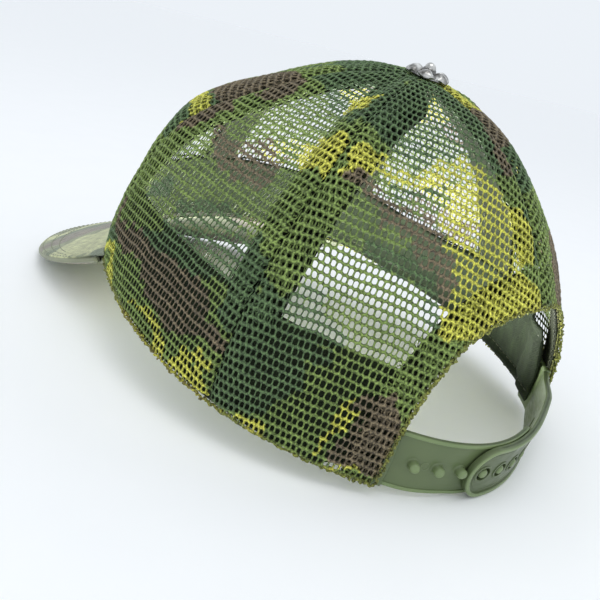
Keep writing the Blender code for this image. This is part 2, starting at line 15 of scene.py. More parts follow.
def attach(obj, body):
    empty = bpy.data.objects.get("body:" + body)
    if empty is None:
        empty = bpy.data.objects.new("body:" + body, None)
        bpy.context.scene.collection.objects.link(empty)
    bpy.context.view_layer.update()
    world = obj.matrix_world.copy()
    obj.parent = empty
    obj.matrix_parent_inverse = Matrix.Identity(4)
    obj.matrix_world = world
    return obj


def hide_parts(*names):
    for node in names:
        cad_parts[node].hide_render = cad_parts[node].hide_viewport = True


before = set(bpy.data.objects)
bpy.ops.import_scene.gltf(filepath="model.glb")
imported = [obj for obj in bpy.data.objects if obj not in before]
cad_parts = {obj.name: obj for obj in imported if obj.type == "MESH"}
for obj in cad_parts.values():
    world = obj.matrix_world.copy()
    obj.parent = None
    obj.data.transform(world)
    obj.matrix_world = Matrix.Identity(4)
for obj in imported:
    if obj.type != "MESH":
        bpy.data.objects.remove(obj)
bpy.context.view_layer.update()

MM = 0.001
PITCH_BACK, LIFT, SHIFT_Y = 9.1, 15.22, 34.18
HEAD = Matrix.Translation((0.0, SHIFT_Y * MM, LIFT * MM))
HEAD = HEAD @ Matrix.Rotation(-math.radians(PITCH_BACK), 4, "X")
HEAD_TURN = np.array(HEAD.to_3x3())
HEAD_MOVE = np.array(HEAD.translation)

# ---- the crown, as in the CAD part -----------------------------------------------------------
HALF_LENGTH, HALF_WIDTH, CROWN_HEIGHT, APEX_Y = 97.0, 86.0, 106.5, -1.3
FRONT_RIM_RISE = 4.6
FRONT_SEAM, REAR_SEAM, BACK_SEAM = 50.0, 105.0, 180.0
ROUNDING_FRONT, ROUNDING_SIDE, ROUNDING_BACK = 1.83, 1.64, 2.28
RISE_FRONT, RISE_SIDE, RISE_BACK = 2.28, 1.5, 1.4
BULGES = (
    (4.5, 50.0, 14.3, 12.7, 22.0),
    (5.7, 39.5, 25.0, 35.0, 12.0),
    (3.4, 141.0, 20.0, 20.0, 15.0),
)
REAR_SEAM_BULGE, REAR_SEAM_BULGE_ANGLE = 6.0, 12.0
OPENING_ANGLE, OPENING_HEIGHT, OPENING_SQUARENESS = 140.6, 57.5, 0.8
OPENING_RADIUS = 91.0


def radians(angle):
    return np.asarray(angle, float) * (math.pi / 180.0)


def gaussian(offset, width):
    return np.exp(-((offset / width) ** 2))


def angle_between(a, b):
    return (a - b + 180.0) % 360.0 - 180.0


def profile_powers(phi):
    """How round the plan and the rise are: they change from the front to the side and back."""
    front = np.clip(np.cos(radians(phi)), 0.0, 1.0) ** 1.5
    back = np.clip(-np.cos(radians(phi)), 0.0, 1.0) ** 1.5
    rounding = ROUNDING_SIDE + (ROUNDING_FRONT - ROUNDING_SIDE) * front
    rounding = rounding + (ROUNDING_BACK - ROUNDING_SIDE) * back
    rise = RISE_SIDE + (RISE_FRONT - RISE_SIDE) * front + (RISE_BACK - RISE_SIDE) * back
    return rounding, rise


def rim_height(phi):
    return 0.5 * FRONT_RIM_RISE * (1.0 + np.cos(radians(phi)))


def cloth_bulge(phi, psi):
    total = np.zeros(np.broadcast(phi, psi).shape)
    for side in (1.0, -1.0):
        for height, seam, width, centre, spread in BULGES:
            across = gaussian(angle_between(phi, side * seam), width)
            total += height * across * gaussian(psi - centre, spread)
        across = gaussian(angle_between(phi, side * REAR_SEAM), REAR_SEAM_BULGE_ANGLE)
        total += REAR_SEAM_BULGE * across * np.sin(2.0 * radians(psi))
    return total


def crown_surface(phi, psi):
    """The crown's outer face. phi turns from the front to the left; psi climbs to the apex."""
    phi, psi = np.broadcast_arrays(np.asarray(phi, float), np.asarray(psi, float))
    rounding, rise = profile_powers(phi)
    out = np.clip(np.cos(radians(psi)), 0.0, 1.0)
    up = np.clip(np.sin(radians(psi)), 0.0, 1.0)
    reach, climb = out ** (2.0 / rounding), up ** (2.0 / rise)
    sine, cosine = np.sin(radians(phi)), np.cos(radians(phi))
    x = HALF_WIDTH * sine * reach
    y = -HALF_LENGTH * cosine * reach + APEX_Y * climb
    z = rim_height(phi) * (1.0 - climb) + CROWN_HEIGHT * climb
    bulge = cloth_bulge(phi, psi)
    return np.stack([x + bulge * sine * out, y - bulge * cosine * out, z + bulge * up], -1)


def crown_layer(phi, psi, depth):
    """The crown's surface moved inwards by depth along its normal."""
    step = 1.0
    phi, psi = np.broadcast_arrays(np.asarray(phi, float), np.asarray(psi, float))
    low = np.minimum(psi, 88.0)
    around = crown_surface(phi + step, low) - crown_surface(phi - step, low)
    upward = crown_surface(phi, low + step) - crown_surface(phi, np.maximum(low - step, 0.0))
    normal = np.cross(around, upward)
    normal /= np.linalg.norm(normal, axis=-1, keepdims=True)
    return crown_surface(phi, psi) - normal * np.asarray(depth, float)[..., None]


def psi_at_height(phi, height):
    _, rise = profile_powers(phi)
    low = rim_height(phi)
    climb = np.clip((height - low) / (CROWN_HEIGHT - low), 0.0, 1.0)
    return np.degrees(np.arcsin(climb ** (rise / 2.0)))


def plan_radius(phi):
    return np.hypot(HALF_WIDTH * np.sin(radians(phi)), HALF_LENGTH * np.cos(radians(phi)))


def psi_at_radius(phi, radius):
    rounding, _ = profile_powers(phi)
    return np.degrees(np.arccos(np.clip(radius / plan_radius(phi), 0.0, 1.0) ** (rounding / 2.0)))


def radius_at(phi, psi):
    rounding, _ = profile_powers(phi)
    return plan_radius(phi) * np.clip(np.cos(radians(psi)), 0.0, 1.0) ** (2.0 / rounding)


def opening_point(turn):
    """A point on the rear opening's left edge: turn 0 at the corner, 90 at the top."""
    spread = BACK_SEAM - OPENING_ANGLE
    phi = BACK_SEAM - spread * np.clip(np.cos(radians(turn)), 0.0, 1.0) ** OPENING_SQUARENESS
    height = OPENING_HEIGHT * np.clip(np.sin(radians(turn)), 0.0, 1.0) ** OPENING_SQUARENESS
    return phi, height


def surface(phi, tau):
    """The crown by share of the way up (tau 0 to 1), carried straight on below its rim."""
    phi, tau = np.broadcast_arrays(np.asarray(phi, float), np.asarray(tau, float))
    power = profile_powers(phi)[1] / 2.0
    point = crown_surface(phi, 90.0 * np.clip(tau, 0.0, 1.0) ** power)
    step = crown_surface(phi, 90.0 * 0.03**power) - crown_surface(phi, 0.0 * phi)
    return point + np.minimum(tau, 0.0)[..., None] * step / 0.03


def unit(vectors):
    return vectors / np.maximum(np.linalg.norm(vectors, axis=-1, keepdims=True), 1e-12)


def to_world(points):
    return np.asarray(points, float) @ HEAD_TURN.T * MM + HEAD_MOVE


def ripple(seed, points, wavelength, count=7):
    """Smooth seeded noise of about unit size: a sum of sine waves in random directions."""
    random = np.random.default_rng(seed)
    total = np.zeros(len(points))
    for _ in range(count):
        direction = random.normal(size=points.shape[1])
        direction *= 2.0 * math.pi / (wavelength * random.uniform(0.7, 1.5)) / np.linalg.norm(direction)
        total += np.sin(points @ direction + random.uniform(0.0, 6.28))
    return total / math.sqrt(0.5 * count)


# ==== flat patterns of the crown's panels =====================================================
GRID_STEP = 1.5
GEODESIC_RADIUS = 95.0
HALF_ACROSS, HALF_UP = 78.0, 96.0
START_SPREAD, START_LOW, BATCH = 70.0, -0.3, 500
NEWTON_ROUNDS, NUDGE, LONGEST_STEP = 12, 1e-3, 0.08
NO_ARCH = 90.0


class Pattern:
    """One crown panel laid flat: x runs round the head and y up it, in millimetres of cloth."""

    def __init__(self, low, high, centre, tau, opening=False):
        self.low, self.high, self.opening = low, high, opening
        self.centre = surface(centre, tau)
        self.across = unit(surface(centre + 0.5, tau) - surface(centre - 0.5, tau))
        up = surface(centre, tau + 0.01) - surface(centre, tau - 0.01)
        self.up = unit(up - self.across * (up @ self.across))
        self.columns = np.arange(-HALF_ACROSS, HALF_ACROSS + 0.1, GRID_STEP)
        self.rows = np.arange(-HALF_UP, HALF_UP + 0.1, GRID_STEP)
        self.measure(*self.solve(centre))

    def flatten(self, polar):
        """Where points of the crown fall on the flat pattern."""
        phi = np.degrees(np.arctan2(polar[:, 0], -polar[:, 1]))
        offset = surface(phi, 1.0 - np.hypot(polar[:, 0], polar[:, 1])) - self.centre
        chord = np.linalg.norm(offset, axis=1)
        geodesic = 2.0 * GEODESIC_RADIUS * np.arcsin(np.minimum(chord / (2.0 * GEODESIC_RADIUS), 0.99))
        x, y = offset @ self.across, offset @ self.up
        scale = geodesic / np.maximum(np.hypot(x, y), 1e-6)
        return np.stack([x * scale, y * scale], -1)

    def solve(self, centre):
        """The crown's point at each node of the flat grid, by Newton's method."""
        x, y = np.meshgrid(self.columns, self.rows)
        wanted = np.stack([x.ravel(), y.ravel()], -1)
        around = centre + np.linspace(-START_SPREAD, START_SPREAD, 57)
        phi, share = np.meshgrid(around, np.linspace(START_LOW, 1.0, 53))
        radius = (1.0 - share.ravel())[:, None]
        angle = radians(phi.ravel())
        starts = radius * np.stack([np.sin(angle), -np.cos(angle)], -1)
        flat = self.flatten(starts)
        nearest = np.empty(len(wanted), int)
        for first in range(0, len(wanted), BATCH):
            part = wanted[first:first + BATCH]
            nearest[first:first + BATCH] = ((part[:, None] - flat[None]) ** 2).sum(-1).argmin(1)
        polar = starts[nearest] + 1e-4
        for _ in range(NEWTON_ROUNDS):
            here = self.flatten(polar)
            side = (self.flatten(polar + [NUDGE, 0.0]) - here) / NUDGE
            ahead = (self.flatten(polar + [0.0, NUDGE]) - here) / NUDGE
            miss = wanted - here
            size = side[:, 0] * ahead[:, 1] - side[:, 1] * ahead[:, 0]
            size = np.where(np.abs(size) < 1e-3, 1e-3, size)
            step_x = (miss[:, 0] * ahead[:, 1] - miss[:, 1] * ahead[:, 0]) / size
            step_y = (side[:, 0] * miss[:, 1] - side[:, 1] * miss[:, 0]) / size
            polar = polar + np.clip(np.stack([step_x, step_y], -1), -LONGEST_STEP, LONGEST_STEP)
        x, y = polar.T
        return np.degrees(np.arctan2(x, -y)), 1.0 - np.hypot(x, y)

    def seam_distance(self, points, climb, seam):
        """How far round past a seam's upright plane the points lie."""
        angle = math.radians(seam)
        line = np.array([HALF_WIDTH * math.sin(angle), -HALF_LENGTH * math.cos(angle)])
        line /= np.linalg.norm(line)
        return -points[:, 0] * line[1] + (points[:, 1] - APEX_Y * climb) * line[0]

    def measure(self, phi, tau):
        """Tabulates the crown's place, its normal and the distances from the edges over the grid."""
        points = surface(phi, tau)
        shape = (len(self.rows), len(self.columns))
        power = profile_powers(phi)[1] / 2.0
        climb = np.clip(np.sin(radians(90.0 * np.clip(tau, 0, 1) ** power)), 0, 1) ** (1.0 / power)
        from_low = self.seam_distance(points, climb, self.low)
        to_high = -self.seam_distance(points, climb, self.high)
        rim = np.linalg.norm(points - surface(phi, 0.0 * phi), axis=1) * np.sign(tau)
        if self.opening:
            width = (BACK_SEAM - np.abs(angle_between(phi, 0.0))) / (BACK_SEAM - OPENING_ANGLE)
            height = np.maximum(points[:, 2], 0.0) / OPENING_HEIGHT
            sharp = 2.0 / OPENING_SQUARENESS
            level = (np.abs(width) ** sharp + height**sharp) ** (1.0 / sharp)
            slope = np.gradient(level.reshape(shape), GRID_STEP)
            arch = (level - 1.0) / np.maximum(np.hypot(*slope).ravel(), 0.004)
        else:
            arch = np.full(len(rim), NO_ARCH)
        grid = points.reshape(shape + (3,))
        normal = unit(np.cross(np.gradient(grid, axis=1), np.gradient(grid, axis=0)))
        fields = [grid, normal]
        fields += [value.reshape(shape + (1,)) for value in (from_low, to_high, rim, arch)]
        self.fields = np.concatenate(fields, -1)

    def at(self, flat):
        """Bilinear values at flat points: place, normal, and distances in from each edge."""
        x = np.clip((flat[:, 0] - self.columns[0]) / GRID_STEP, 0, len(self.columns) - 1.001)
        y = np.clip((flat[:, 1] - self.rows[0]) / GRID_STEP, 0, len(self.rows) - 1.001)
        i, j = x.astype(int), y.astype(int)
        x, y = (x - i)[:, None], (y - j)[:, None]
        lower = self.fields[j, i] * (1 - x) + self.fields[j, i + 1] * x
        upper = self.fields[j + 1, i] * (1 - x) + self.fields[j + 1, i + 1] * x
        return lower * (1 - y) + upper * y


# Where Pattern.at keeps a point's distances in, after its place and its normal.
FROM_LOW, TO_HIGH, FROM_RIM, FROM_ARCH = 6, 7, 8, 9


# ==== camouflage print =========================================================================
GREEN, DARK, BROWN, LIME = range(4)
PRINT = np.array([
    (0.150, 0.212, 0.060),
    (0.078, 0.128, 0.056),
    (0.140, 0.112, 0.072),
    (0.440, 0.440, 0.072),
])


def printed(pattern_seed, flat, blots):
    """Which of the four colours the print has at flat points: seeded fields, then placed blots."""
    warped = flat + 3.0 * np.stack([ripple(901, flat, 26.0), ripple(902, flat, 26.0)], -1)
    warped = warped + 0.9 * np.stack([ripple(903, flat, 7.0), ripple(904, flat, 7.0)], -1)
    colour = np.full(len(flat), GREEN)
    colour[ripple(pattern_seed, warped * [0.55, 1.0], 46.0) > (0.8 if blots else 0.6)] = DARK
    if not blots:
        colour[ripple(pattern_seed + 1, warped * [0.5, 1.0], 44.0) > 0.85] = BROWN
        colour[ripple(pattern_seed + 2, warped * [0.5, 1.0], 42.0) > 0.85] = LIME
    for kind, x, y, across, up, turn in blots:
        angle = math.radians(turn)
        offset = warped - [x, y]
        along = (offset[:, 0] * math.cos(angle) + offset[:, 1] * math.sin(angle)) / across
        aside = (offset[:, 1] * math.cos(angle) - offset[:, 0] * math.sin(angle)) / up
        colour[along**2 + aside**2 < 1.0] = kind
    return colour


# ==== the knitted net ==========================================================================
WALE, COURSE = 1.94, 2.9
YARN_HALF_DEPTH = 0.24
# Painted light and shade on each yarn: its top lighter, its underside and the hole edges darker.
YARN_PAINTED_SHADE = (1.35, 0.45, 0.66)
FRAYED_SHADE = np.array([0.20, 0.17, 0.045])
# A cell's corners in whole-number keys, of which a wale is 4 wide and a course 10 high.
KEYS_WIDE, KEYS_HIGH, KEY_SPAN = 4, 10, 20000
CORNER_KEYS = np.array([
    (0, 6), (1, 5), (2, 4), (2, 2), (2, 0), (2, -2), (2, -4),
    (1, -5), (0, -6), (-1, -5), (-2, -4), (-2, -2), (-2, 0), (-2, 2), (-2, 4), (-1, 5),
])
HOLE_REACH = np.array((0.86, 0.90, 0.93, 1.0, 1.02, 1.0, 0.93, 0.90) * 2)
SIDES = len(CORNER_KEYS)
EDGE_FLAP = 1.5
HOLE_SIZE, HOLE_SPREAD, HOLE_LOSS_AT_SEAMS, HOLE_JITTER = 0.71, 0.035, 0.125, 0.05
FRAY_WIDTH = 2.2


def middle_keys(i, j):
    return KEYS_WIDE * i + KEYS_WIDE // 2 * (j % 2), KEYS_HIGH * j


def net_cells(pattern, turn, shift, kept):
    """Columns and rows of the cells of a net whose middles pass the kept test."""
    i, j = np.meshgrid(np.arange(-60, 61), np.arange(-46, 47))
    i, j = i.ravel(), j.ravel()
    middle = net_place(*middle_keys(i, j), turn, shift)
    inside = (np.abs(middle[:, 0]) < HALF_ACROSS - 3) & (np.abs(middle[:, 1]) < HALF_UP - 3)
    i, j, middle = i[inside], j[inside], middle[inside]
    keep = kept(pattern.at(middle))
    return i[keep], j[keep]


def net_place(key_x, key_y, turn, shift):
    """Flat place of a net point from its whole-number keys, with the knit's slight waver."""
    x, y = key_x * WALE / KEYS_WIDE + shift[0], key_y * COURSE / KEYS_HIGH + shift[1]
    straight = np.stack([x, y], -1)
    waver = np.stack([ripple(31, straight, 19.0), ripple(32, straight, 23.0)], -1)
    fine = np.stack([ripple(33, straight, 4.2), ripple(34, straight, 4.6)], -1)
    straight = straight + 0.16 * waver + 0.07 * fine
    cosine, sine = math.cos(math.radians(turn)), math.sin(math.radians(turn))
    return straight @ np.array([[cosine, sine], [-sine, cosine]])


def trimmed(pattern, flat):
    """Flat points that pass the rim or the rear arch, brought back to the cut edge."""
    flat = flat.copy()
    for column in (FROM_RIM, FROM_ARCH):
        value = pattern.at(flat)[:, column]
        past = np.flatnonzero(value < 0.0)
        across = pattern.at(flat[past] + [0.2, 0.0])[:, column] - value[past]
        up = pattern.at(flat[past] + [0.0, 0.2])[:, column] - value[past]
        slope = np.stack([across, up], -1) / 0.2
        steep = np.maximum((slope**2).sum(-1, keepdims=True), 0.2)
        flat[past] -= np.maximum(value[past], -3.0)[:, None] * slope / steep
    return flat


def density(value):
    """1 where the net is sewn down at a seam, the rim or the rear arch, 0 where it hangs free."""
    seam = (np.minimum(value[:, FROM_LOW], value[:, TO_HIGH]) - 7.0) / 5.0
    rim, arch = (value[:, FROM_RIM] - 3.0) / 8.0, (value[:, FROM_ARCH] - 8.0) / 4.0
    return 1.0 - np.clip(np.minimum(np.minimum(seam, rim), arch), 0.0, 1.0)


def lay_on_crown(pattern, flat, rise, depth):
    """Points of a net on the crown; what passes a seam folds in along it, to a hidden flap."""
    value = pattern.at(flat)
    place, normal = value[:, :3], value[:, 3:6]
    for column, seam, way in ((FROM_LOW, pattern.low, 1.0), (TO_HIGH, pattern.high, -1.0)):
        over = np.clip(-value[:, column], 0.0, EDGE_FLAP)
        angle = math.radians(seam)
        round_the_head = way * np.array([math.cos(angle), math.sin(angle), 0.0])
        place = place + over[:, None] * round_the_head - normal * (1.1 * over)[:, None]
        near = np.maximum(value[:, column], 0.0)
        place = place - normal * (0.9 * gaussian(near, 1.3) - 0.35 * gaussian(near - 5.0, 3.5))[:, None]
    swell = 0.35 * ripple(51, place, 60.0) + 0.16 * ripple(52, place, 21.0)
    return place + normal * (rise - depth + swell)[:, None], value


def knit(name, pattern, turn, shift, kept, depth, seed, blots, material):
    """A net as one closed mesh: round-edged holes in staggered wales, raised yarn between."""
    i, j = net_cells(pattern, turn, shift, kept)
    random = np.random.default_rng(seed)
    count = len(i)
    middle_x, middle_y = middle_keys(i, j)
    key_x = middle_x[:, None] + CORNER_KEYS[:, 0]
    key_y = middle_y[:, None] + CORNER_KEYS[:, 1]
    _, first, index = np.unique(key_x * KEY_SPAN + key_y, return_index=True, return_inverse=True)
    index = index.reshape(count, SIDES)
    key_x, key_y = key_x.ravel()[first], key_y.ravel()[first]
    border = trimmed(pattern, net_place(key_x, key_y, turn, shift))
    middle = net_place(middle_x, middle_y, turn, shift)
    around = border[index] - middle[:, None]
    size = random.uniform(-HOLE_SPREAD, HOLE_SPREAD, count) + HOLE_SIZE
    size = size - HOLE_LOSS_AT_SEAMS * density(pattern.at(middle))
    hole = middle[:, None] + around * size[:, None, None] * HOLE_REACH[None, :, None]
    hole = (hole + random.normal(0.0, HOLE_JITTER, (count, 1, 2))).reshape(-1, 2)
    total = len(border)
    chain = np.abs((key_y + 5) % KEYS_HIGH - 5) > 2
    bulk = 0.2 * ripple(seed + 5, border, 3.0) + 0.35 * chain + 0.35 * density(pattern.at(border))
    lift = YARN_HALF_DEPTH * (1.0 + bulk)
    top, value = lay_on_crown(pattern, border, lift, depth)
    bottom, _ = lay_on_crown(pattern, border, -lift, depth)
    inner, inner_value = lay_on_crown(pattern, hole, np.zeros(len(hole)), depth)
    ring = 2 * total + np.arange(count * SIDES).reshape(count, SIDES)
    after, ring_after = np.roll(index, -1, axis=1), np.roll(ring, -1, axis=1)
    upper = np.stack([index, ring, ring_after, after], -1).reshape(-1, 4)
    lower = np.stack([index + total, after + total, ring_after, ring], -1).reshape(-1, 4)
    pair = np.sort(np.stack([index, after], -1).reshape(-1, 2), axis=1)
    pair_code = pair[:, 0] * (total + 1) + pair[:, 1]
    _, which, uses = np.unique(pair_code, return_inverse=True, return_counts=True)
    open_edge = (uses[which.ravel()] == 1).reshape(count, SIDES)
    a, b = index[open_edge], after[open_edge]
    wall = np.stack([a, b, b + total, a + total], -1)
    colour = printed(seed, np.concatenate([border, border, hole]), blots)
    # The print times the painted shade: lighter yarn tops, darker undersides and hole edges.
    shade = PRINT[colour] * np.repeat(YARN_PAINTED_SHADE, (total, total, len(hole)))[:, None]
    edge = np.concatenate([value, value, inner_value])[:, FROM_RIM:].min(1)
    frayed = (np.clip(1.0 - edge / FRAY_WIDTH, 0.0, 1.0) * 0.55)[:, None]
    shade = shade * (1.0 - frayed) + FRAYED_SHADE * frayed
    points, faces = np.concatenate([top, bottom, inner]), np.concatenate([upper, lower, wall])
    cut = (*np.ptp(border, axis=0), count * WALE * COURSE)
    return build_mesh(name, points, faces, material, shade), cut


def build_mesh(name, points, faces, material, shade=None):
    """A mesh object from points in the wearing frame, its print and its painted shade kept as a colour
    attribute.
    """
    groups = faces if isinstance(faces, list) else [faces]
    corners = np.concatenate([group.ravel() for group in groups]).astype(np.int32)
    sizes = np.concatenate([np.full(len(group), group.shape[1]) for group in groups])
    mesh = bpy.data.meshes.new(name)
    mesh.vertices.add(len(points))
    mesh.vertices.foreach_set("co", to_world(points).ravel())
    mesh.loops.add(len(corners))
    mesh.loops.foreach_set("vertex_index", corners)
    mesh.polygons.add(len(sizes))
    mesh.polygons.foreach_set("loop_start", (np.cumsum(sizes) - sizes).astype(np.int32))
    mesh.update(calc_edges=True)
    mesh.validate()
    mesh.shade_smooth()
    if shade is not None:
        paint(mesh, shade)
    return add_object(name, mesh, material)


def paint(mesh, shade):
    full = np.ones((len(shade), 4))
    full[:, :3] = shade
    # The print attribute holds the print and, on the yarn and the strap, painted shade too.
    mesh.attributes.new("print", "FLOAT_COLOR", "POINT").data.foreach_set("color", full.ravel())


def add_object(name, data, material=None):
    if material:
        data.materials.append(material)
    ob = bpy.data.objects.new(name, data)
    bpy.context.scene.collection.objects.link(ob)
    return ob


def close_up(mesh, gap):
    """Joins points nearer than gap metres, fills what stays open and turns every face outwards."""
    bm = bmesh.new()
    bm.from_mesh(mesh)
    bmesh.ops.remove_doubles(bm, verts=bm.verts, dist=gap)
    bmesh.ops.holes_fill(bm, edges=[e for e in bm.edges if e.is_boundary], sides=0)
    bmesh.ops.recalc_face_normals(bm, faces=bm.faces)
    bm.to_mesh(mesh)
    bm.free()


def declare(ob, node, body="cap"):
    """Hangs a piece on its body's empty and hides the CAD node that it stands for."""
    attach(ob, body)
    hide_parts(node)


# ==== materials ================================================================================
class Look:
    """A material in the making: each method adds nodes and gives back the socket they end in."""

    def __init__(self, name, roughness, metallic=0.0, sheen=0.0, specular=0.4):
        self.material = bpy.data.materials.new(name)
        self.material.use_nodes = True
        tree = self.material.node_tree
        self.nodes, self.links = tree.nodes, tree.links
        self.inputs = tree.nodes["Principled BSDF"].inputs
        self.inputs["Roughness"].default_value = roughness
        self.inputs["Metallic"].default_value = metallic
        self.inputs["Specular IOR Level"].default_value = specular
        self.inputs["Sheen Weight"].default_value = sheen
        self.inputs["Sheen Roughness"].default_value = 0.5
        self.place = tree.nodes.new("ShaderNodeTexCoord").outputs["Object"]

    def feed(self, name, socket):
        self.links.new(socket, self.inputs[name])

    def noise(self, scale, detail=3.0, stretch=None, place=None):
        place = place or self.place
        node = self.nodes.new("ShaderNodeTexNoise")
        node.inputs["Scale"].default_value = scale
        node.inputs["Detail"].default_value = detail
        if stretch:
            mapping = self.nodes.new("ShaderNodeMapping")
            mapping.inputs["Scale"].default_value = stretch
            self.links.new(place, mapping.inputs["Vector"])
            place = mapping.outputs["Vector"]
        self.links.new(place, node.inputs["Vector"])
        return node.outputs["Fac"]

    def ramp(self, source, low, high, dark, light):
        """A ramp from dark at low to light at high; a single number is a grey."""
        node = self.nodes.new("ShaderNodeValToRGB")
        for element, position, colour in zip(node.color_ramp.elements, (low, high), (dark, light)):
            element.position = position
            element.color = (*np.broadcast_to(colour, 3).tolist(), 1.0)
        self.links.new(source, node.inputs["Fac"])
        return node.outputs["Color"]

    def times(self, first, *others):
        """Colour sockets multiplied together; the first may be a plain colour."""
        for other in others:
            mix = self.nodes.new("ShaderNodeMixRGB")
            mix.blend_type = "MULTIPLY"
            mix.inputs["Fac"].default_value = 1.0
            if isinstance(first, tuple):
                mix.inputs["Color1"].default_value = (*first, 1.0)
            else:
                self.links.new(first, mix.inputs["Color1"])
            self.links.new(other, mix.inputs["Color2"])
            first = mix.outputs["Color"]
        return first

    def painted(self):
        # Reads the print attribute, which on the yarn and the strap also holds painted shade.
        node = self.nodes.new("ShaderNodeAttribute")
        node.attribute_name = "print"
        return node.outputs["Color"]

    def bump(self, *heights):
        """Chained bumps: each is a height socket, its strength and its depth in metres."""
        last = None
        for height, strength, distance in heights:
            node = self.nodes.new("ShaderNodeBump")
            node.inputs["Strength"].default_value = strength
            node.inputs["Distance"].default_value = distance
            self.links.new(height, node.inputs["Height"])
            if last:
                self.links.new(last, node.inputs["Normal"])
            last = node.outputs["Normal"]
        self.feed("Normal", last)


def yarn_material():
    """Dyed filament yarn: the print; its uneven take-up, in a fine speckle strong enough to paint
    highlights and dark gaps on the fibres; glints along the fibres.
    """
    look = Look("net_yarn", 0.5, sheen=0.04, specular=0.28)
    patchy, broad = look.noise(1500.0), look.noise(90.0, 2.0)
    # Uneven dyeing and painted light in one: the fine speckle paints bright highlights and dark gaps on
    # the yarn.
    dye_and_painted_glint = look.ramp(patchy, 0.34, 0.68, (0.32, 0.32, 0.34), (1.85, 1.85, 1.75))
    wear = look.ramp(broad, 0.3, 0.7, (0.85, 0.87, 0.85), (1.15, 1.13, 1.1))
    look.feed("Base Color", look.times(look.painted(), dye_and_painted_glint, wear))
    look.feed("Roughness", look.ramp(patchy, 0.2, 0.8, 0.42, 0.75))
    fibre = look.noise(3200.0, 2.0, (1.0, 1.0, 0.35))
    look.bump((fibre, 0.9, 0.0002), (patchy, 0.6, 0.0003))
    return look.material


def woven_material(name, colour, thread, sheen=0.3):
    """Twill on UVs measured in metres, in a plain colour or, where that is None, printed."""
    look = Look(name, 0.8, sheen=sheen, specular=0.25)
    uv = look.nodes.new("ShaderNodeUVMap")
    uv.uv_map = "cloth"
    threads = []
    for turn, coarseness in ((0.0, 1.0), (1.5708, 1.0), (0.7854, 0.7)):
        mapping = look.nodes.new("ShaderNodeMapping")
        mapping.inputs["Rotation"].default_value = (0.0, 0.0, turn)
        wave = look.nodes.new("ShaderNodeTexWave")
        wave.inputs["Scale"].default_value = 0.314 / thread * coarseness
        wave.inputs["Distortion"].default_value = 0.6
        wave.inputs["Detail"].default_value = 1.0
        look.links.new(uv.outputs["UV"], mapping.inputs["Vector"])
        look.links.new(mapping.outputs["Vector"], wave.inputs["Vector"])
        threads.append(wave.outputs["Fac"])
    slub = look.noise(0.25 / thread, 3.0, (1.0, 0.25, 1.0), uv.outputs["UV"])
    slubs = look.ramp(slub, 0.3, 0.7, 0.72, (1.28, 1.28, 1.26))
    faded = look.ramp(look.noise(60.0), 0.3, 0.7, 0.88, (1.12, 1.12, 1.1))
    weave = look.ramp(threads[-1], 0.1, 0.9, 0.78, 1.15)
    look.feed("Base Color", look.times(colour or look.painted(), slubs, faded, weave))
    look.bump(*[(height, 0.35, 0.00015) for height in threads], (slub, 0.3, 0.0002))
    return look.material


def strap_material():
    """Satin moulded olive plastic with flow marks, fine pits and a little scuffing."""
    look = Look("strap_olive_plastic", 0.36, specular=0.5)
    flow, fine = look.noise(60.0, 4.0), look.noise(1500.0)
    tint = look.ramp(flow, 0.3, 0.7, (0.140, 0.195, 0.080), (0.172, 0.228, 0.098))
    # Its colour times the mesh's painted shade: darker recesses and peg feet, lighter rims and peg heads.
    look.feed("Base Color", look.times(tint, look.painted()))
    scuff = look.noise(240.0, 5.0, (1.0, 1.0, 4.0))
    look.feed("Roughness", look.ramp(scuff, 0.35, 0.75, 0.30, 0.52))
    look.bump((fine, 0.25, 0.00005), (flow, 0.2, 0.0004))
    look.inputs["Subsurface Weight"].default_value = 0.08
    look.inputs["Subsurface Radius"].default_value = (0.6, 0.8, 0.3)
    look.inputs["Subsurface Scale"].default_value = 0.002
    return look.material


def metal_material(name, bright, dark, roughness):
    """Cast metal: bright where handled, darkened by patina in its hollows, slightly pitted."""
    look = Look(name, roughness, metallic=1.0, specular=0.5)
    pitted, stain = look.noise(1400.0, 4.0), look.noise(260.0, 4.0)
    patina = look.ramp(stain, 0.35, 0.65, dark, bright)
    look.feed("Base Color", look.times(patina, look.painted()))
    look.feed("Roughness", look.ramp(stain, 0.3, 0.7, roughness + 0.2, roughness))
    look.bump((pitted, 0.35, 0.00008), (stain, 0.3, 0.0002))
    return look.material


def grained(look, grain, dark, light, strength, depth):
    """A plain material whose one fine grain tints it and roughens it."""
    look.feed("Base Color", look.ramp(grain, 0.3, 0.7, dark, light))
    look.bump((grain, strength, depth))
    return look.material


def plated_material(name, colour, roughness):
    look = Look(name, roughness, metallic=1.0)
    brushed = look.noise(700.0, 4.0, (1.0, 1.0, 12.0))
    return grained(look, brushed, [0.8 * c for c in colour], colour, 0.3, 0.00006)


def board_material():
    look = Look("visor_board_plastic", 0.55)
    return grained(look, look.noise(500.0, 4.0), (0.5, 0.5, 0.46), (0.66, 0.66, 0.6), 0.4, 0.0001)


def thread_material(name, colour):
    """Twisted sewing thread."""
    look = Look(name, 0.5, sheen=0.3)
    return grained(look, look.noise(2600.0, 2.0), [0.65 * c for c in colour], colour, 0.6, 0.0001)


# ==== cloth strips, threads and stitches =======================================================
def strip_faces(columns, rows, closed=False):
    i, j = np.meshgrid(np.arange(columns if closed else columns - 1), np.arange(rows - 1))
    i, row, after = i.ravel(), j.ravel() * columns, (i.ravel() + 1) % columns
    return np.stack([row + i, row + after, row + columns + after, row + columns + i], -1)


def strip_grid(columns, rows):
    u, v = np.meshgrid(np.linspace(0, 1, columns), np.linspace(0, 1, rows))
    return u.ravel(), v.ravel()


def travelled(path):
    """How far along a path each of its points lies."""
    return np.concatenate([[0.0], np.cumsum(np.linalg.norm(np.diff(path, axis=0), axis=1))])


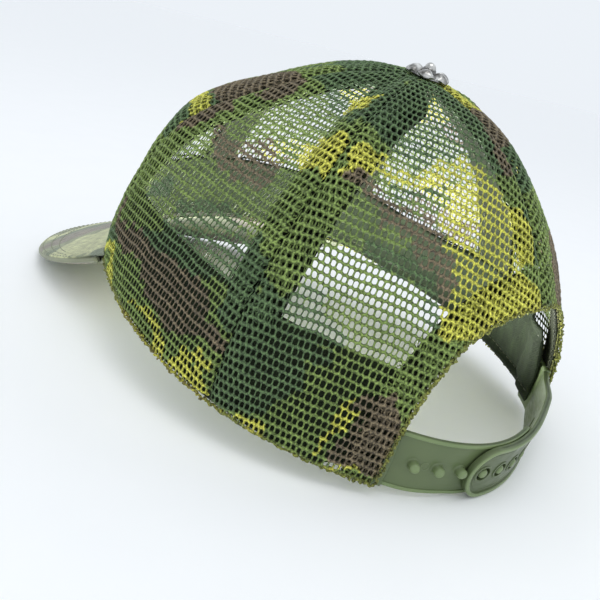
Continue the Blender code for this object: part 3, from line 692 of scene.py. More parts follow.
def add_cloth_uv(ob, columns, rows, points):
    """UVs in metres of cloth: along the strip's middle row and across its middle column."""
    grid = points.reshape(rows, columns, 3)
    u, v = np.meshgrid(travelled(grid[rows // 2]) * MM, travelled(grid[:, columns // 2]) * MM)
    index = np.empty(len(ob.data.loops), np.int32)
    ob.data.loops.foreach_get("vertex_index", index)
    layer = ob.data.uv_layers.new(name="cloth")
    layer.data.foreach_set("uv", np.stack([u.ravel(), v.ravel()], -1)[index].ravel())


def strip_size(points, columns, rows):
    """A strip's width, length and area laid flat, in millimetres."""
    grid = points.reshape(rows, columns, 3)
    across, along = np.diff(grid, axis=1), np.diff(grid, axis=0)
    area = np.linalg.norm(np.cross(across[:-1], along[:, :-1]), axis=-1).sum()
    return np.linalg.norm(across, axis=-1).sum(1).max(), np.linalg.norm(along, axis=-1).sum(0).max(), area


def declare_sheet(size):
    width, length, area = size
    flat = (width * MM, length * MM)
    area = min(area * MM * MM, flat[0] * flat[1])


def cloth_strip(name, columns, rows, mapping, thickness, material, shade=None):
    """A strip or cover with thickness: mapping takes u, v from 0 to 1 onto the wearing frame."""
    u, v = strip_grid(columns, rows)
    points = mapping(u, v)
    ob = build_mesh(name, points, strip_faces(columns, rows), material, shade(u, v) if shade else None)
    add_cloth_uv(ob, columns, rows, points)
    shell = ob.modifiers.new("thickness", "SOLIDIFY")
    shell.thickness = thickness * MM
    shell.offset = -1.0
    return ob, strip_size(points, columns, rows)


def tube(name, path, radius, sides, material, closed=False, shade=None):
    """A round thread, piping or rod along a path; radius may vary along it."""
    forward = np.roll(path, -1, 0) - np.roll(path, 1, 0)
    if not closed:
        forward[0], forward[-1] = path[1] - path[0], path[-1] - path[-2]
    forward = unit(forward)
    side = unit(np.cross(forward, [0.03, 0.02, 1.0]))
    lift = np.cross(side, forward)
    angle = np.linspace(0, 2 * math.pi, sides, endpoint=False)[:, None]
    ring = side[:, None] * np.cos(angle) + lift[:, None] * np.sin(angle)
    radius = np.broadcast_to(radius, (len(path),))
    points = (path[:, None] + ring * radius[:, None, None]).reshape(-1, 3)
    i, last = np.arange(sides), (len(path) - 1) * sides
    after = (i + 1) % sides
    faces = strip_faces(sides, len(path), closed=True)
    if closed:
        faces = np.concatenate([faces, np.stack([last + i, last + after, after, i], -1)])
    else:
        start, end = np.full(sides, len(points)), np.full(sides, len(points) + 1)
        points = np.concatenate([points, [points[:sides].mean(0), points[-sides:].mean(0)]])
        faces = [faces, np.stack([after, i, start], -1), np.stack([last + i, last + after, end], -1)]
    return build_mesh(name, points, faces, material, shade)


# A stitch's pitch, length and thread radius.
FINE_STITCH, HEAVY_STITCH = (3.0, 2.2, 0.22), (3.2, 2.4, 0.24)
STITCH_RINGS = 6


def stitches(name, path, normal, gauge, material, node):
    """A row of lockstitches along a path, each a short thread that dives in at both ends."""
    pitch, length, radius = gauge
    way = travelled(path)
    starts = np.arange(0.5, way[-1] - length, pitch)
    steps = np.linspace(0.0, 1.0, STITCH_RINGS)
    where = (starts[:, None] + steps[None] * length).ravel()
    centre = np.stack([np.interp(where, way, path[:, k]) for k in range(3)], -1)
    out = unit(np.stack([np.interp(where, way, normal[:, k]) for k in range(3)], -1))
    rise = np.tile(np.sin(np.pi * steps) ** 0.5 * radius * 1.2 - 0.5 * radius, len(starts))
    centre = (centre + out * rise[:, None]).reshape(len(starts), STITCH_RINGS, 3)
    out = out.reshape(len(starts), STITCH_RINGS, 3)
    forward = unit(centre[:, -1] - centre[:, 0])[:, None]
    side = unit(np.cross(out, forward))
    lift = np.cross(forward, side)
    angle = np.linspace(0, 2 * math.pi, 6, endpoint=False)[:, None]
    girth = radius * (0.55 + 0.45 * np.sin(np.pi * steps) ** 0.5)
    ring = side[:, :, None] * np.cos(angle) + lift[:, :, None] * np.sin(angle)
    points = (centre[:, :, None] + ring * girth[None, :, None, None]).reshape(-1, 3)
    caps = np.array([[0, 5, 4, 3], [0, 3, 2, 1], [30, 31, 32, 33], [30, 33, 34, 35]])
    base = (np.arange(len(starts)) * 6 * STITCH_RINGS)[:, None, None]
    walls = (strip_faces(6, STITCH_RINGS, closed=True)[None] + base).reshape(-1, 4)
    faces = np.concatenate([walls, (caps[None] + base).reshape(-1, 4)])
    declare(build_mesh(name, points, faces, material), node)


# ==== crown panels =============================================================================
NET = yarn_material()
HEM, ARCH_HEM, HEM_BOTTOM, NET_TURN = 10.0, 12.0, 33.0, 5.5
EDGE_SEED, EDGE_YARN_RADIUS = 300, 0.34
# Placed blots: colour, x and y on the flat panel, half-width, half-height, turn.
SIDE_LEFT_BLOTS = (
    (DARK, 12, 52, 14, 9, 30),
    (DARK, -30, -28, 12, 7, 0),
    (BROWN, -3, -55, 47, 7.6, -10),
    (LIME, 14, -73.5, 27, 3.4, -13),
    (LIME, -48, -62, 14, 4, -5),
    (BROWN, -32, 9, 9, 15, -20),
    (BROWN, -15, 28, 7, 7, 30),
    (BROWN, -1, -5, 20, 6.5, -5),
    (LIME, 19, 33, 10, 4.5, -12),
    (LIME, 26, 8, 7, 11, 10),
)
REAR_LEFT_BLOTS = (
    (DARK, -5, 32, 24, 22, 0),
    (BROWN, 14, 33, 5, 12, 20),
    (LIME, 16, -5, 17, 20, 8),
    (LIME, -12, 6, 16, 4.2, 6),
    (LIME, 15, -30, 6.5, 10, 10),
    (LIME, 36, -15, 13, 8, -25),
    (LIME, 30, -27, 22, 9, 25),
    (LIME, -27, 2, 8, 7, 0),
    (DARK, -9, 2, 5, 2.6, -15),
    (BROWN, -16, -7, 15, 4.6, -10),
    (BROWN, 2, -19, 14, 4.4, -48),
    (DARK, -35, -66, 18, 9, 0),
    (BROWN, 3, -76, 9.5, 17, 5),
    (LIME, -8, -74, 2.2, 9, -6),
    (LIME, -18, -91, 24, 2.0, -4),
)
FRONT_LEFT_BLOTS = (
    (DARK, 12, 68, 16, 18, 0),
    (BROWN, 20, 28, 14, 17, 0),
    (LIME, 24, 3, 16, 6, 0),
    (DARK, 0, -30, 20, 10, 20),
    (BROWN, -18, 20, 14, 9, -20),
)


def whole(value):
    return (value[:, FROM_LOW:] > [-0.3, -0.3, 0.35, 0.35]).all(1)


def hems(value):
    clear = (value[:, FROM_LOW:] > [0.9, 0.9, 0.6, 0.6]).all(1)
    seam = np.minimum(value[:, FROM_LOW], value[:, TO_HIGH])
    beside_seam = (seam < HEM) & (value[:, FROM_RIM] > HEM_BOTTOM)
    return clear & (beside_seam | (value[:, FROM_ARCH] < ARCH_HEM))


PANELS = {
    "front_left": (Pattern(0.0, FRONT_SEAM, 25.0, 0.42), 41, FRONT_LEFT_BLOTS),
    "side_left": (Pattern(FRONT_SEAM, REAR_SEAM, 77.5, 0.42), 42, SIDE_LEFT_BLOTS),
    "rear_left": (Pattern(REAR_SEAM, BACK_SEAM, 140.0, 0.5, True), 43, REAR_LEFT_BLOTS),
    "front_right": (Pattern(-FRONT_SEAM, 0.0, -25.0, 0.42), 44, ()),
    "side_right": (Pattern(-REAR_SEAM, -FRONT_SEAM, -77.5, 0.42), 45, ()),
    "rear_right": (Pattern(-BACK_SEAM, -REAR_SEAM, -140.0, 0.5, True), 46, ()),
}


def build_nets():
    for place, (pattern, seed, blots) in PANELS.items():
        front_word, side_word = place.split("_")
        turn = -NET_TURN if side_word == "left" else NET_TURN
        net, cut = knit("net_" + place, pattern, turn, (0.0, 0.0), whole, 0.1, seed, blots, NET)
        hem, _ = knit("net_hem_" + place, pattern, -turn, (0.8, 1.1), hems, 1.0, seed, blots, NET)
        declare_sheet(cut)
        for piece in (net, hem):
            declare(piece, front_word + "_panel_" + side_word)


def build_edges():
    """The fuzzy cut edge: two loose yarns that wander along the rim and the rear arch."""
    phi = np.linspace(-OPENING_ANGLE, OPENING_ANGLE, 1500)
    rim = crown_layer(phi, psi_at_height(phi, rim_height(phi) + 0.15), np.full(1500, 0.2))
    path = np.concatenate([rim, arch_path(0.1, 0.2, 700, 0.4)])
    for index in range(2):
        place = np.stack([np.arange(len(path)) * 1.0, np.full(len(path), 40.0 * index)], -1)
        wander = np.stack([ripple(EDGE_SEED + 3 * index + k, place, 6.0) for k in range(3)], -1)
        radius = EDGE_YARN_RADIUS * (1.0 + 0.35 * ripple(EDGE_SEED + 9 + index, place, 3.5))
        colours = PRINT[printed(EDGE_SEED + index, path[:, [0, 2]], ())]
        shade = np.repeat(0.45 * colours + 0.55 * np.array([0.24, 0.22, 0.04]), 7, axis=0)
        strand = path + EDGE_YARN_RADIUS * wander
        ob = tube(f"net_edge_{index}", strand, np.maximum(radius, 0.12), 7, NET, True, shade)
        declare(ob, "side_panel_left")


# ==== lining ===================================================================================
TAPE = woven_material("tape_twill", (0.012, 0.018, 0.006), 0.00045, 0.03)
BAND = woven_material("sweatband_twill", (0.015, 0.024, 0.009), 0.0005, 0.02)
BINDING = woven_material("binding_twill", (0.016, 0.021, 0.007), 0.00045, 0.03)
THREAD = thread_material("sewing_thread", (0.07, 0.08, 0.03))
TAPE_WIDTH, TAPE_BOTTOM, TAPE_TOP_RADIUS = 19.0, 33.0, 7.0
BAND_END, BAND_TOP, BAND_PUFF, BAND_CHANNEL = 139.8, 36.0, 2.6, 1.5
BAND_STITCH_SHARES = (0.14, 0.88)


def tape_mapping(seam, bottom):
    def mapping(u, v):
        low = psi_at_height(seam, bottom)
        psi = low + v * (psi_at_radius(seam, TAPE_TOP_RADIUS) - low)
        radius = radius_at(seam, psi)
        half = np.minimum(0.5 * TAPE_WIDTH, 0.44 * radius)
        across = 2.0 * u - 1.0
        phi = seam + across * np.degrees(half / radius)
        depth = 2.2 + 0.5 * gaussian(across, 0.12) - 0.12 * np.abs(across) ** 6
        return crown_layer(phi, psi, depth + 0.1 * ripple(71, np.stack([across * 8, psi * 1.5], -1), 9.0))

    return mapping


def build_tapes():
    seams = {
        "front": 0.0,
        "front_left": FRONT_SEAM,
        "front_right": -FRONT_SEAM,
        "rear_left": REAR_SEAM,
        "rear_right": -REAR_SEAM,
        "back": BACK_SEAM,
    }
    for place, seam in seams.items():
        node = "seam_tape_" + place
        mapping = tape_mapping(seam, OPENING_HEIGHT + 12.0 if place == "back" else TAPE_BOTTOM)
        tape, size = cloth_strip("tape_" + place, 21, 110, mapping, 0.5, TAPE)
        declare_sheet(size)
        declare(tape, node)
        for index, across in enumerate((0.12, 0.88)):
            path = mapping(np.full(160, across), np.linspace(0.01, 0.97, 160))
            inward = unit([0.0, 0.0, 20.0] - path)
            name, path = f"stitch_{node}_{index}", path + inward * 0.55
            stitches(name, path, inward, FINE_STITCH, THREAD, node)


def band_mapping(u, v):
    """Round the band's section once: up its outer side, over the top and down its inner side."""
    phi = BAND_END * (2.0 * u - 1.0)
    bottom = rim_height(phi) + 0.1
    outer = v < 0.5
    share = np.where(outer, 2.0 * v, 2.0 - 2.0 * v)
    psi = psi_at_height(phi, bottom + share * (BAND_TOP - bottom))
    puff = np.sin(np.pi * share) ** 0.45 * BAND_PUFF
    for line in BAND_STITCH_SHARES:
        puff = puff - BAND_CHANNEL * gaussian(share - line, 0.035)
    place = np.stack([phi * 1.55, share * 35.0], -1)
    crease = 0.28 * ripple(81, place * [1.0, 0.3], 9.0) + 0.15 * ripple(82, place, 5.0)
    end = np.clip((1.0 - np.abs(2.0 * u - 1.0)) * 40.0, 0.0, 1.0) ** 0.5
    inner = np.where(outer, 0.0, (0.5 + puff + crease * np.sin(np.pi * share)) * end)
    under_tab = 3.2 / (1.0 + np.exp(-(np.abs(phi) - 130.5) * 1.3))
    drawn_in = 0.9 * gaussian(share, 0.12)
    return crown_layer(phi, psi, 2.0 - drawn_in + under_tab + inner)


def build_band():
    columns, rows = 460, 45
    points = band_mapping(*strip_grid(columns, rows))
    band = build_mesh("sweatband_padded", points, strip_faces(columns, rows), BAND)
    add_cloth_uv(band, columns, rows, points)
    close_up(band.data, 0.00002)
    declare(band, "sweatband")
    for index, share in enumerate(BAND_STITCH_SHARES):
        path = band_mapping(np.linspace(0.004, 0.996, 900), np.full(900, 1.0 - 0.5 * share))
        inward = unit(path * [-1.0, -1.0, 0.0])
        name, path = f"stitch_sweatband_{index}", path + inward * 0.1
        stitches(name, path, inward, HEAVY_STITCH, THREAD, "sweatband")


def opening_outward(turn):
    """Unit directions, across and up, that lead away from the rear opening's edge."""
    phi_a, low = opening_point(turn - 0.5)
    phi_b, high = opening_point(turn + 0.5)
    around = radians(phi_b - phi_a) * OPENING_RADIUS
    length = np.hypot(around, high - low)
    return -(high - low) / length, around / length


def arch_path(reach, depth, count, first):
    """A line along the rear arch from corner to corner, from the height first, reach out from it."""
    around = np.linspace(-1.0, 1.0, count)
    start = math.degrees(math.asin((first / OPENING_HEIGHT) ** (1.0 / OPENING_SQUARENESS)))
    turn = start + (89.5 - start) * (1.0 - np.abs(around))
    phi, height = opening_point(turn)
    across, upward = opening_outward(turn)
    wide = phi + np.degrees(reach * across / OPENING_RADIUS)
    psi = psi_at_height(wide, height + reach * upward)
    turned = np.where(around < 0.0, wide, 2.0 * BACK_SEAM - wide)
    return crown_layer(turned, psi, np.full(count, float(depth)))


def build_binding():
    columns, rows = 181, 9

    def mapping(_, v):
        shares = v[::columns]
        return np.concatenate([arch_path(0.1 + 10.8 * share, 1.75, columns, 1.0) for share in shares])

    binding, size = cloth_strip("arch_binding", columns, rows, mapping, 0.6, BINDING)
    declare_sheet(size)
    declare(binding, "rear_arch_binding")
    for index, reach in enumerate((1.8, 9.6)):
        path = arch_path(reach, 2.5, 500, 8.0)
        inward = unit(path * [-1.0, -1.0, 0.0])
        name, node = f"stitch_arch_{index}", "rear_arch_binding"
        stitches(name, path, inward, FINE_STITCH, THREAD, node)


# ==== visor ====================================================================================
VISOR_LENGTH, VISOR_ANGLE, VISOR_ROLL_RADIUS, VISOR_SLOPE = 64.0, 54.3, 126.0, 0.646
VISOR_SIDE_POWER, VISOR_FRONT_POWER = 0.86, 0.89
VISOR_ROOT_HEIGHT, VISOR_CORNER_LENGTH, VISOR_GAP, VISOR_TUCK = 2.6, 3.5, 0.7, 2.4
BOARD_THICKNESS, LAYER_GAP, COVER_THICKNESS, PIPING_RADIUS = 1.6, 0.3, 0.7, 1.05
VISOR_STITCH_LINES = (0.055, 0.155, 0.255)
VISOR_PRINT = np.array([(0.30, 0.33, 0.20), (0.19, 0.23, 0.15), (0.28, 0.25, 0.20), (0.56, 0.58, 0.33)])
VISOR_CLOTH = woven_material("visor_twill", None, 0.0005)
PIPING = woven_material("visor_edge_twill", (0.30, 0.32, 0.20), 0.0005)
VISOR_THREAD = thread_material("visor_thread", (0.26, 0.28, 0.17))


def visor_middle(u, v):
    """The visor's middle surface: u from right to left, v from the outer edge to the crown."""
    across = 2.0 * u - 1.0
    phi = across * VISOR_ANGLE
    rim = crown_surface(phi, np.zeros(len(u)))
    inner_x = rim[:, 0] + VISOR_GAP * np.sin(radians(phi))
    inner_y = rim[:, 1] - VISOR_GAP * np.cos(radians(phi))
    corner = crown_surface(VISOR_ANGLE, 0.0)
    corner_x = corner[0] + VISOR_GAP * math.sin(math.radians(VISOR_ANGLE))
    corner_y = corner[1] - VISOR_CORNER_LENGTH
    sine, cosine = np.sin(radians(90.0 * across)), np.cos(radians(90.0 * across))
    outer_x = corner_x * np.sign(sine) * np.abs(sine) ** VISOR_SIDE_POWER
    reach = np.clip(cosine, 0.0, 1.0) ** VISOR_FRONT_POWER
    outer_y = corner_y - (HALF_LENGTH + VISOR_LENGTH + corner_y) * reach
    x = outer_x + (inner_x - outer_x) * v
    y = outer_y + (inner_y - outer_y) * v
    y = y + VISOR_TUCK * np.clip((v - 0.9) / 0.1, 0.0, 1.0)
    roll = VISOR_ROLL_RADIUS - np.sqrt(VISOR_ROLL_RADIUS**2 - x**2)
    z = VISOR_ROOT_HEIGHT + VISOR_SLOPE * (y + HALF_LENGTH) - roll
    return np.stack([x, y, z], -1)


def visor_normal(point):
    slope_x = -point[:, 0] / np.sqrt(VISOR_ROLL_RADIUS**2 - point[:, 0] ** 2)
    return unit(np.stack([-slope_x, np.full(len(point), -VISOR_SLOPE), np.ones(len(point))], -1))


def visor_cover(name, top, seed, node):
    way = 1.0 if top > 0 else -1.0

    def mapping(u, v):
        point = visor_middle(u, v)
        rounded = 1.1 * np.clip(1.0 - v / 0.04, 0.0, 1.0) ** 2
        slack = 0.12 * ripple(seed, point, 24.0) * np.clip(v * 8.0, 0.0, 1.0)
        rows = sum(gaussian(v - line, 0.006) for line in VISOR_STITCH_LINES)
        return point + visor_normal(point) * (top - way * (rounded + 0.16 * rows - slack))[:, None]

    def shade(u, v):
        return VISOR_PRINT[printed(seed, visor_middle(u, v)[:, :2] + [seed, 0.0], ())]

    cover, size = cloth_strip(name, 220, 110, mapping, 0.6, VISOR_CLOTH, shade)
    declare_sheet(size)
    declare(cover, node)
    return mapping


def build_visor():
    board_top = 0.5 * BOARD_THICKNESS + LAYER_GAP
    slot, node = "visor_cloth", "visor_top_cover"
    top = visor_cover("visor_top_cloth", board_top + COVER_THICKNESS, 61, node)
    visor_cover("visor_under_cloth", -board_top, 62, "visor_under_cover")
    edge = visor_middle(np.linspace(0.0, 1.0, 260), np.full(260, 0.004))
    declare(tube("visor_edge_piping", edge, PIPING_RADIUS, 14, PIPING), node)
    for index, line in enumerate(VISOR_STITCH_LINES):
        path = top(np.linspace(0.03 + 0.25 * line, 0.97 - 0.25 * line, 700), np.full(700, line))
        name, normal = f"stitch_visor_{index}", visor_normal(path)
        stitches(name, path, normal, HEAVY_STITCH, VISOR_THREAD, node)


# ==== closure straps ===========================================================================
STRAP_WIDTH, STRAP_DEPTH, STRAP_RADIUS, STRAP_TIP_LENGTH = 20.0, 2.2, 83.0, 9.0
STRAP_TAB_LENGTH, STRAP_OVERHANG, STRAP_GAP = 13.0, 2.6, 0.3
STRAP_MIDDLE = 0.5 * STRAP_WIDTH
PEG_STRAP_THICKNESS, PEG_STRAP_RECESS, PEG_STRAP_LENGTH = 1.6, 0.4, 64.0
HOLE_STRAP_THICKNESS, HOLE_STRAP_RECESS = 2.4, 0.8
SNAP_PITCH, SNAP_COUNT, HOLES_ENGAGED = 8.3, 7, 4
FIRST_PEG, PEG_RADIUS, PEG_HEIGHT, PEG_DOME, HOLE_RADIUS = 6.8, 1.7, 3.0, 1.1, 2.65
OVERLAP_SHIFT_OUT, OVERLAP_SHIFT_IN, SHIFT_START, SHIFT_END, LAP_BULGE = 1.0, 1.7, 4.0, 24.0, 3.0
FIRST_HOLE_FROM_TIP = 6.2
HINGE_ANGLE = OPENING_ANGLE + math.degrees((STRAP_OVERHANG + 0.5 * STRAP_GAP) / OPENING_RADIUS)


def hinge_line(side, depth):
    phi = np.full(2, side * HINGE_ANGLE)
    return crown_layer(phi, psi_at_height(phi, np.array([0.0, STRAP_WIDTH])), np.full(2, depth))


HINGE_X, HINGE_Y = hinge_line(1.0, STRAP_DEPTH)[0][:2]
CIRCLE_Y = HINGE_Y - math.sqrt(STRAP_RADIUS**2 - HINGE_X**2)
HINGE_TURN = math.asin(HINGE_X / STRAP_RADIUS)
TOP_X, TOP_Y = hinge_line(1.0, STRAP_DEPTH)[1][:2]
ROOT_LEAN = (STRAP_RADIUS - math.hypot(TOP_X, TOP_Y - CIRCLE_Y)) / STRAP_WIDTH
STRAP = strap_material()


def bent(side, shift, flat):
    """Carries flat strap points (along, up, proud) round the wearer's head."""
    along, height, proud = flat[:, 0], flat[:, 1], flat[:, 2]
    t = np.clip((along - SHIFT_START) / (SHIFT_END - SHIFT_START), 0.0, 1.0)
    turned = t * t * (3.0 - 2.0 * t)
    angle = side * (HINGE_TURN - along / STRAP_RADIUS)
    radius = STRAP_RADIUS + LAP_BULGE * np.sin(math.pi * angle / HINGE_TURN)
    radius = radius + shift * turned + proud - ROOT_LEAN * (1.0 - turned) * height
    return np.stack([radius * np.sin(angle), CIRCLE_Y + radius * np.cos(angle), height], -1)


def strap_outline(length, inset, count=28):
    """The strap's outline with one round end, moved in by inset."""
    points = [(0.5 * STRAP_GAP + inset, inset)]
    for step in range(count + 1):
        angle = math.radians(-90.0 + 180.0 * step / count)
        along = length - STRAP_TIP_LENGTH + (STRAP_TIP_LENGTH - inset) * math.cos(angle)
        points.append((along, STRAP_MIDDLE + (STRAP_MIDDLE - inset) * math.sin(angle)))
    points.append((0.5 * STRAP_GAP + inset, STRAP_WIDTH - inset))
    return points


def rim_outline(length, width):
    """The raised border: along one edge, round the tip and back, open at the sewn end."""
    outer, inner = strap_outline(length, 0.0), strap_outline(length, width)
    inner[0], inner[-1] = (outer[0][0], width), (outer[-1][0], STRAP_WIDTH - width)
    return outer + inner[::-1]


def circle_outline(x, radius, count=32):
    angles = np.linspace(0.0, 2.0 * math.pi, count, endpoint=False)
    return [(x + radius * math.cos(a), STRAP_MIDDLE + radius * math.sin(a)) for a in angles]


def moulding(outlines, bottom, top, bevel):
    """A flat moulding with rounded edges: its first outline is its outside, the rest are holes."""
    curve = bpy.data.curves.new("moulding", "CURVE")
    curve.dimensions = "2D"
    curve.fill_mode = "BOTH"
    curve.extrude = 0.5 * (top - bottom) - bevel
    curve.bevel_depth = bevel
    curve.bevel_resolution = 2
    curve.offset = -bevel
    for outline in outlines:
        spline = curve.splines.new("POLY")
        spline.points.add(len(outline) - 1)
        for point, (x, y) in zip(spline.points, outline):
            point.co = (x, y, 0.0, 1.0)
        spline.use_cyclic_u = True
    holder = add_object("moulding", curve)
    bpy.context.view_layer.update()
    evaluated = holder.evaluated_get(bpy.context.evaluated_depsgraph_get())
    mesh = bpy.data.meshes.new_from_object(evaluated)
    bpy.data.objects.remove(holder, do_unlink=True)
    bm = bmesh.new()
    bm.from_mesh(mesh)
    bpy.data.meshes.remove(mesh)
    bmesh.ops.remove_doubles(bm, verts=bm.verts, dist=0.001)
    bmesh.ops.translate(bm, verts=bm.verts, vec=(0.0, 0.0, 0.5 * (top + bottom)))
    bmesh.ops.recalc_face_normals(bm, faces=bm.faces)
    return bm


def slice_along(bm, length, step=1.25):
    """Cuts a moulding across at even steps, so that it bends smoothly."""
    cut = step
    while cut < length:
        geometry = bm.verts[:] + bm.edges[:] + bm.faces[:]
        bmesh.ops.bisect_plane(bm, geom=geometry, plane_co=(cut, 0, 0), plane_no=(1, 0, 0), dist=0.001)
        cut += step


def add_dome_peg(bm, x, floor, sides=24):
    """A round peg with a rounded head and a small flare at its foot."""
    shoulder = floor + PEG_HEIGHT - PEG_DOME
    profile = [(PEG_RADIUS + 0.55, floor - 0.05), (PEG_RADIUS + 0.2, floor + 0.12)]
    profile += [(PEG_RADIUS, floor + 0.45), (PEG_RADIUS, shoulder)]
    for step in range(1, 7):
        angle = math.radians(90.0 * step / 6)
        reach = PEG_RADIUS - PEG_DOME + PEG_DOME * math.cos(angle)
        profile.append((reach, shoulder + PEG_DOME * math.sin(angle)))
    rings = []
    for radius, z in profile:
        rings.append([bm.verts.new((*spot, z)) for spot in circle_outline(x, radius, sides)])
    for lower, upper in zip(rings, rings[1:]):
        for k in range(sides):
            n = (k + 1) % sides
            bm.faces.new((lower[k], lower[n], upper[n], upper[k]))
    bm.faces.new(rings[-1])
    bm.faces.new(rings[0][::-1])


def joined(parts):
    for other in parts[1:]:
        mesh = bpy.data.meshes.new("part")
        other.to_mesh(mesh)
        other.free()
        parts[0].from_mesh(mesh)
        bpy.data.meshes.remove(mesh)
    return parts[0]


def finish_strap(name, bm, side, shift, body, node):
    mesh = bpy.data.meshes.new(name)
    flat = np.array([vertex.co for vertex in bm.verts])
    for vertex, point in zip(bm.verts, to_world(bent(side, shift, flat))):
        vertex.co = point
    bmesh.ops.triangulate(bm, faces=[f for f in bm.faces if len(f.verts) > 4])
    bmesh.ops.recalc_face_normals(bm, faces=bm.faces)
    bm.to_mesh(mesh)
    bm.free()
    mesh.shade_smooth()
    mesh.set_sharp_from_angle(angle=math.radians(50))
    proud = flat[:, 2:3]
    # Painted shade and highlight: the recessed floor and the feet of the pegs darker, the rim tops and the
    # peg heads lighter.
    paint(mesh, np.where(proud > 0.05, 0.66 + 0.2 * proud, np.clip(1.2 + 1.1 * proud, 0.6, 1.2)))
    declare(add_object(name, mesh, STRAP), node, body)


def build_straps():
    floor = -PEG_STRAP_RECESS
    base = moulding([strap_outline(PEG_STRAP_LENGTH, 0.0)], -PEG_STRAP_THICKNESS, floor, 0.3)
    rim = moulding([rim_outline(PEG_STRAP_LENGTH, 1.3)], -1.2, 0.0, 0.28)
    between = FIRST_PEG + 0.5 * SNAP_PITCH
    ring = [circle_outline(between, 1.5), circle_outline(between, 1.15)]
    strap = joined([base, rim, moulding(ring, floor - 0.2, floor + 0.12, 0.06)])
    slice_along(strap, PEG_STRAP_LENGTH)
    for k in range(SNAP_COUNT):
        add_dome_peg(strap, FIRST_PEG + SNAP_PITCH * k, floor)
    finish_strap("strap_with_pegs", strap, 1.0, -OVERLAP_SHIFT_IN, "peg_strap_body", "peg_strap")

    arc = 2.0 * HINGE_TURN * STRAP_RADIUS
    tip_hole = arc - (FIRST_PEG + SNAP_PITCH * (SNAP_COUNT - HOLES_ENGAGED))
    length = tip_hole + FIRST_HOLE_FROM_TIP
    floor = -HOLE_STRAP_RECESS
    holes = [tip_hole - SNAP_PITCH * k for k in range(SNAP_COUNT)]
    cut = [circle_outline(x, HOLE_RADIUS) for x in holes]
    parts = [
        moulding([strap_outline(length, 0.0)] + cut, -HOLE_STRAP_THICKNESS, floor, 0.3),
        moulding([rim_outline(length, 1.5)], -2.0, 0.0, 0.45),
        moulding([strap_outline(length, 2.6), strap_outline(length, 3.0)], floor - 0.2, floor + 0.1, 0.05),
    ]
    for x in holes:
        ring = [circle_outline(x, HOLE_RADIUS + 0.75), circle_outline(x, HOLE_RADIUS - 0.05)]
        parts.append(moulding(ring, floor - 0.3, floor + 0.28, 0.14))
    strap = joined(parts)
    slice_along(strap, length)
    finish_strap("strap_with_holes", strap, -1.0, OVERLAP_SHIFT_OUT, "hole_strap_body", "hole_strap")


def tab_mapping(side):
    spread = math.degrees(STRAP_TAB_LENGTH / OPENING_RADIUS)
    hinge_end = HINGE_ANGLE - math.degrees(0.5 * STRAP_GAP / OPENING_RADIUS)

    def mapping(u, v):
        along = u if side > 0 else 1.0 - u
        phi = side * (hinge_end - spread + (spread + 0.12) * along)
        psi = psi_at_height(phi, STRAP_WIDTH * v)
        border = 0.35 * gaussian(np.minimum(v, 1.0 - v), 0.05) + 0.3 * gaussian(along - 0.2, 0.05)
        return crown_layer(phi, psi, STRAP_DEPTH - border)

    return mapping


def tab_shade(u, _):
    return np.full((len(u), 3), 0.8)


def build_strap_tabs():
    tabs = ((1.0, "left", 1.6, "peg_strap_root"), (-1.0, "right", 2.4, "hole_strap_root"))
    for side, name, thick, node in tabs:
        mapping = tab_mapping(side)
        tab, _ = cloth_strip("strap_tab_" + name, 60, 60, mapping, thick, STRAP, tab_shade)
        declare(tab, node)


# ==== ornament =================================================================================
SILVER = metal_material("antique_silver", (0.80, 0.79, 0.76), (0.09, 0.085, 0.075), 0.16)
STEEL = plated_material("nickel_plate", (0.62, 0.60, 0.56), 0.3)
ORNAMENT_BASE = CROWN_HEIGHT + 0.4
DOME_RADIUS, BEAD_RADIUS, BEAD_HEIGHT = 6.9, 2.05, 2.9


def build_ornament():
    """A lobed concho: a low dome, six rounded petals, a ridge between them and a bead on top."""
    around, rows = 192, 64
    theta = np.linspace(0, 2 * math.pi, around, endpoint=False)
    theta, share = [grid.ravel() for grid in np.meshgrid(theta, np.linspace(0, 1, rows))]
    petal = np.abs(np.cos(3.0 * (theta - math.pi / 6.0)))
    radius = share * (DOME_RADIUS + 1.5 * petal**0.55)
    flat = np.stack([radius * np.cos(theta), radius * np.sin(theta)], -1)
    lobe = 2.9 * petal**0.6 * np.sqrt(np.clip(1.0 - ((radius - 5.3) / 3.0) ** 2, 0.0, 1.0))
    dome = 2.1 * np.clip(1.0 - (radius / DOME_RADIUS) ** 2, 0.0, 1.0)
    collar = 2.75 * gaussian(radius - 2.3, 0.45)
    bead = BEAD_HEIGHT + np.sqrt(np.clip(BEAD_RADIUS**2 - radius**2, 0, None))
    height = np.maximum(np.maximum(dome, lobe), collar) + 0.05 * ripple(91, flat, 1.6)
    height = np.where(radius < BEAD_RADIUS, bead, height)
    hollow = np.clip((height - np.minimum(dome, 1.6)) / 1.4 + 0.30, 0.22, 1.0)
    hollow = np.where(radius < BEAD_RADIUS, 1.0, np.where(radius < 2.9, 0.3, hollow))
    points = np.stack([flat[:, 0], flat[:, 1] + APEX_Y, height + ORNAMENT_BASE], -1)
    faces = strip_faces(around, rows, closed=True)
    ob = build_mesh("ornament_concho", points, faces, SILVER, hollow[:, None])
    close_up(ob.data, 0.00001)
    ob.data.shade_smooth()
    declare(ob, "ornament")


# ==== CAD pieces that stay, floor, light, camera ===============================================
MIDDLE = Vector((0.0, 0.03, 0.06))
FLOOR_REACH = 90.0
CAMERA_LENS = 42.39
CAMERA_PLACE = Vector((219.94, 146.95, 132.41))
CAMERA_RIGHT, CAMERA_UP = Vector((-0.68225, 0.65195, 0.33091)), Vector((-0.09957, -0.53124, 0.84135))


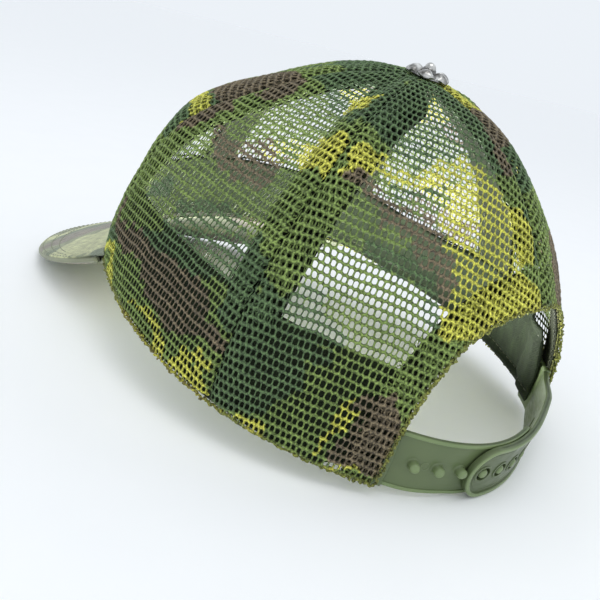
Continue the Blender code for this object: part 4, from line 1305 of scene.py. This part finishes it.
def dress_kept_nodes():
    kept = {"visor_board": board_material(), "ornament_stud": STEEL, "ornament_back_washer": STEEL}
    for name, material in kept.items():
        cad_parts[name].data.materials.clear()
        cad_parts[name].data.materials.append(material)


def area_light(name, power, size, place, aim, colour=(1.0, 1.0, 1.0)):
    lamp = bpy.data.lights.new(name, "AREA")
    lamp.energy = power
    lamp.size = size
    lamp.color = colour
    ob = add_object(name, lamp)
    ob.location = place
    ob.rotation_euler = (Vector(aim) - Vector(place)).to_track_quat("-Z", "Y").to_euler()
    return ob


def build_studio():
    """A white paper floor, a pale sky, two soft lights, and two that light the cap from inside."""
    paper = Look("studio_paper", 0.9, specular=0.5)
    tint = paper.ramp(paper.noise(40.0, 2.0), 0.3, 0.7, (0.982, 0.984, 0.985), (0.992, 0.993, 0.994))
    paper.feed("Base Color", tint)
    mesh = bpy.data.meshes.new("studio_floor")
    corners = [(FLOOR_REACH * x, FLOOR_REACH * y, 0.0) for x, y in ((-1, -1), (1, -1), (1, 1), (-1, 1))]
    mesh.from_pydata(corners, [], [(0, 1, 2, 3)])
    add_object("studio_floor", mesh, paper.material)
    world = bpy.data.worlds.new("studio")
    bpy.context.scene.world = world
    world.use_nodes = True
    background = world.node_tree.nodes["Background"]
    background.inputs["Color"].default_value = (0.86, 0.905, 0.955, 1.0)
    background.inputs["Strength"].default_value = 0.98
    area_light("key", 1.5, 0.5, (0.15, 0.25, 0.95), MIDDLE)
    area_light("fill", 0.25, 0.9, (0.9, 0.7, 0.35), MIDDLE, (0.95, 0.98, 1.0))
    inner = area_light("inner", 0.58, 0.10, (0.0, 0.03, 0.012), (0.0, 0.03, 0.3))
    inner.visible_camera = False
    glow = bpy.data.lights.new("glow", "POINT")
    glow.energy = 0.03
    glow.shadow_soft_size = 0.03
    lamp = add_object("glow", glow)
    lamp.location = (0.0, 0.03, 0.07)
    lamp.visible_camera = False


def place_camera():
    """From behind the wearer's left and a little above, with a slight roll."""
    data = bpy.data.cameras.new("camera")
    data.lens = CAMERA_LENS
    data.sensor_width = 36.0
    data.clip_start = 0.01
    camera = add_object("camera", data)
    back = CAMERA_RIGHT.cross(CAMERA_UP).normalized()
    turn = Matrix((CAMERA_RIGHT.normalized(), CAMERA_UP.normalized(), back)).transposed().to_4x4()
    camera.matrix_world = HEAD @ Matrix.Translation(CAMERA_PLACE * MM) @ turn
    bpy.context.scene.camera = camera


build_nets()
build_edges()
build_tapes()
build_band()
build_binding()
build_visor()
build_straps()
build_strap_tabs()
build_ornament()
dress_kept_nodes()
build_studio()
place_camera()
bpy.context.scene.view_settings.view_transform = "Standard"
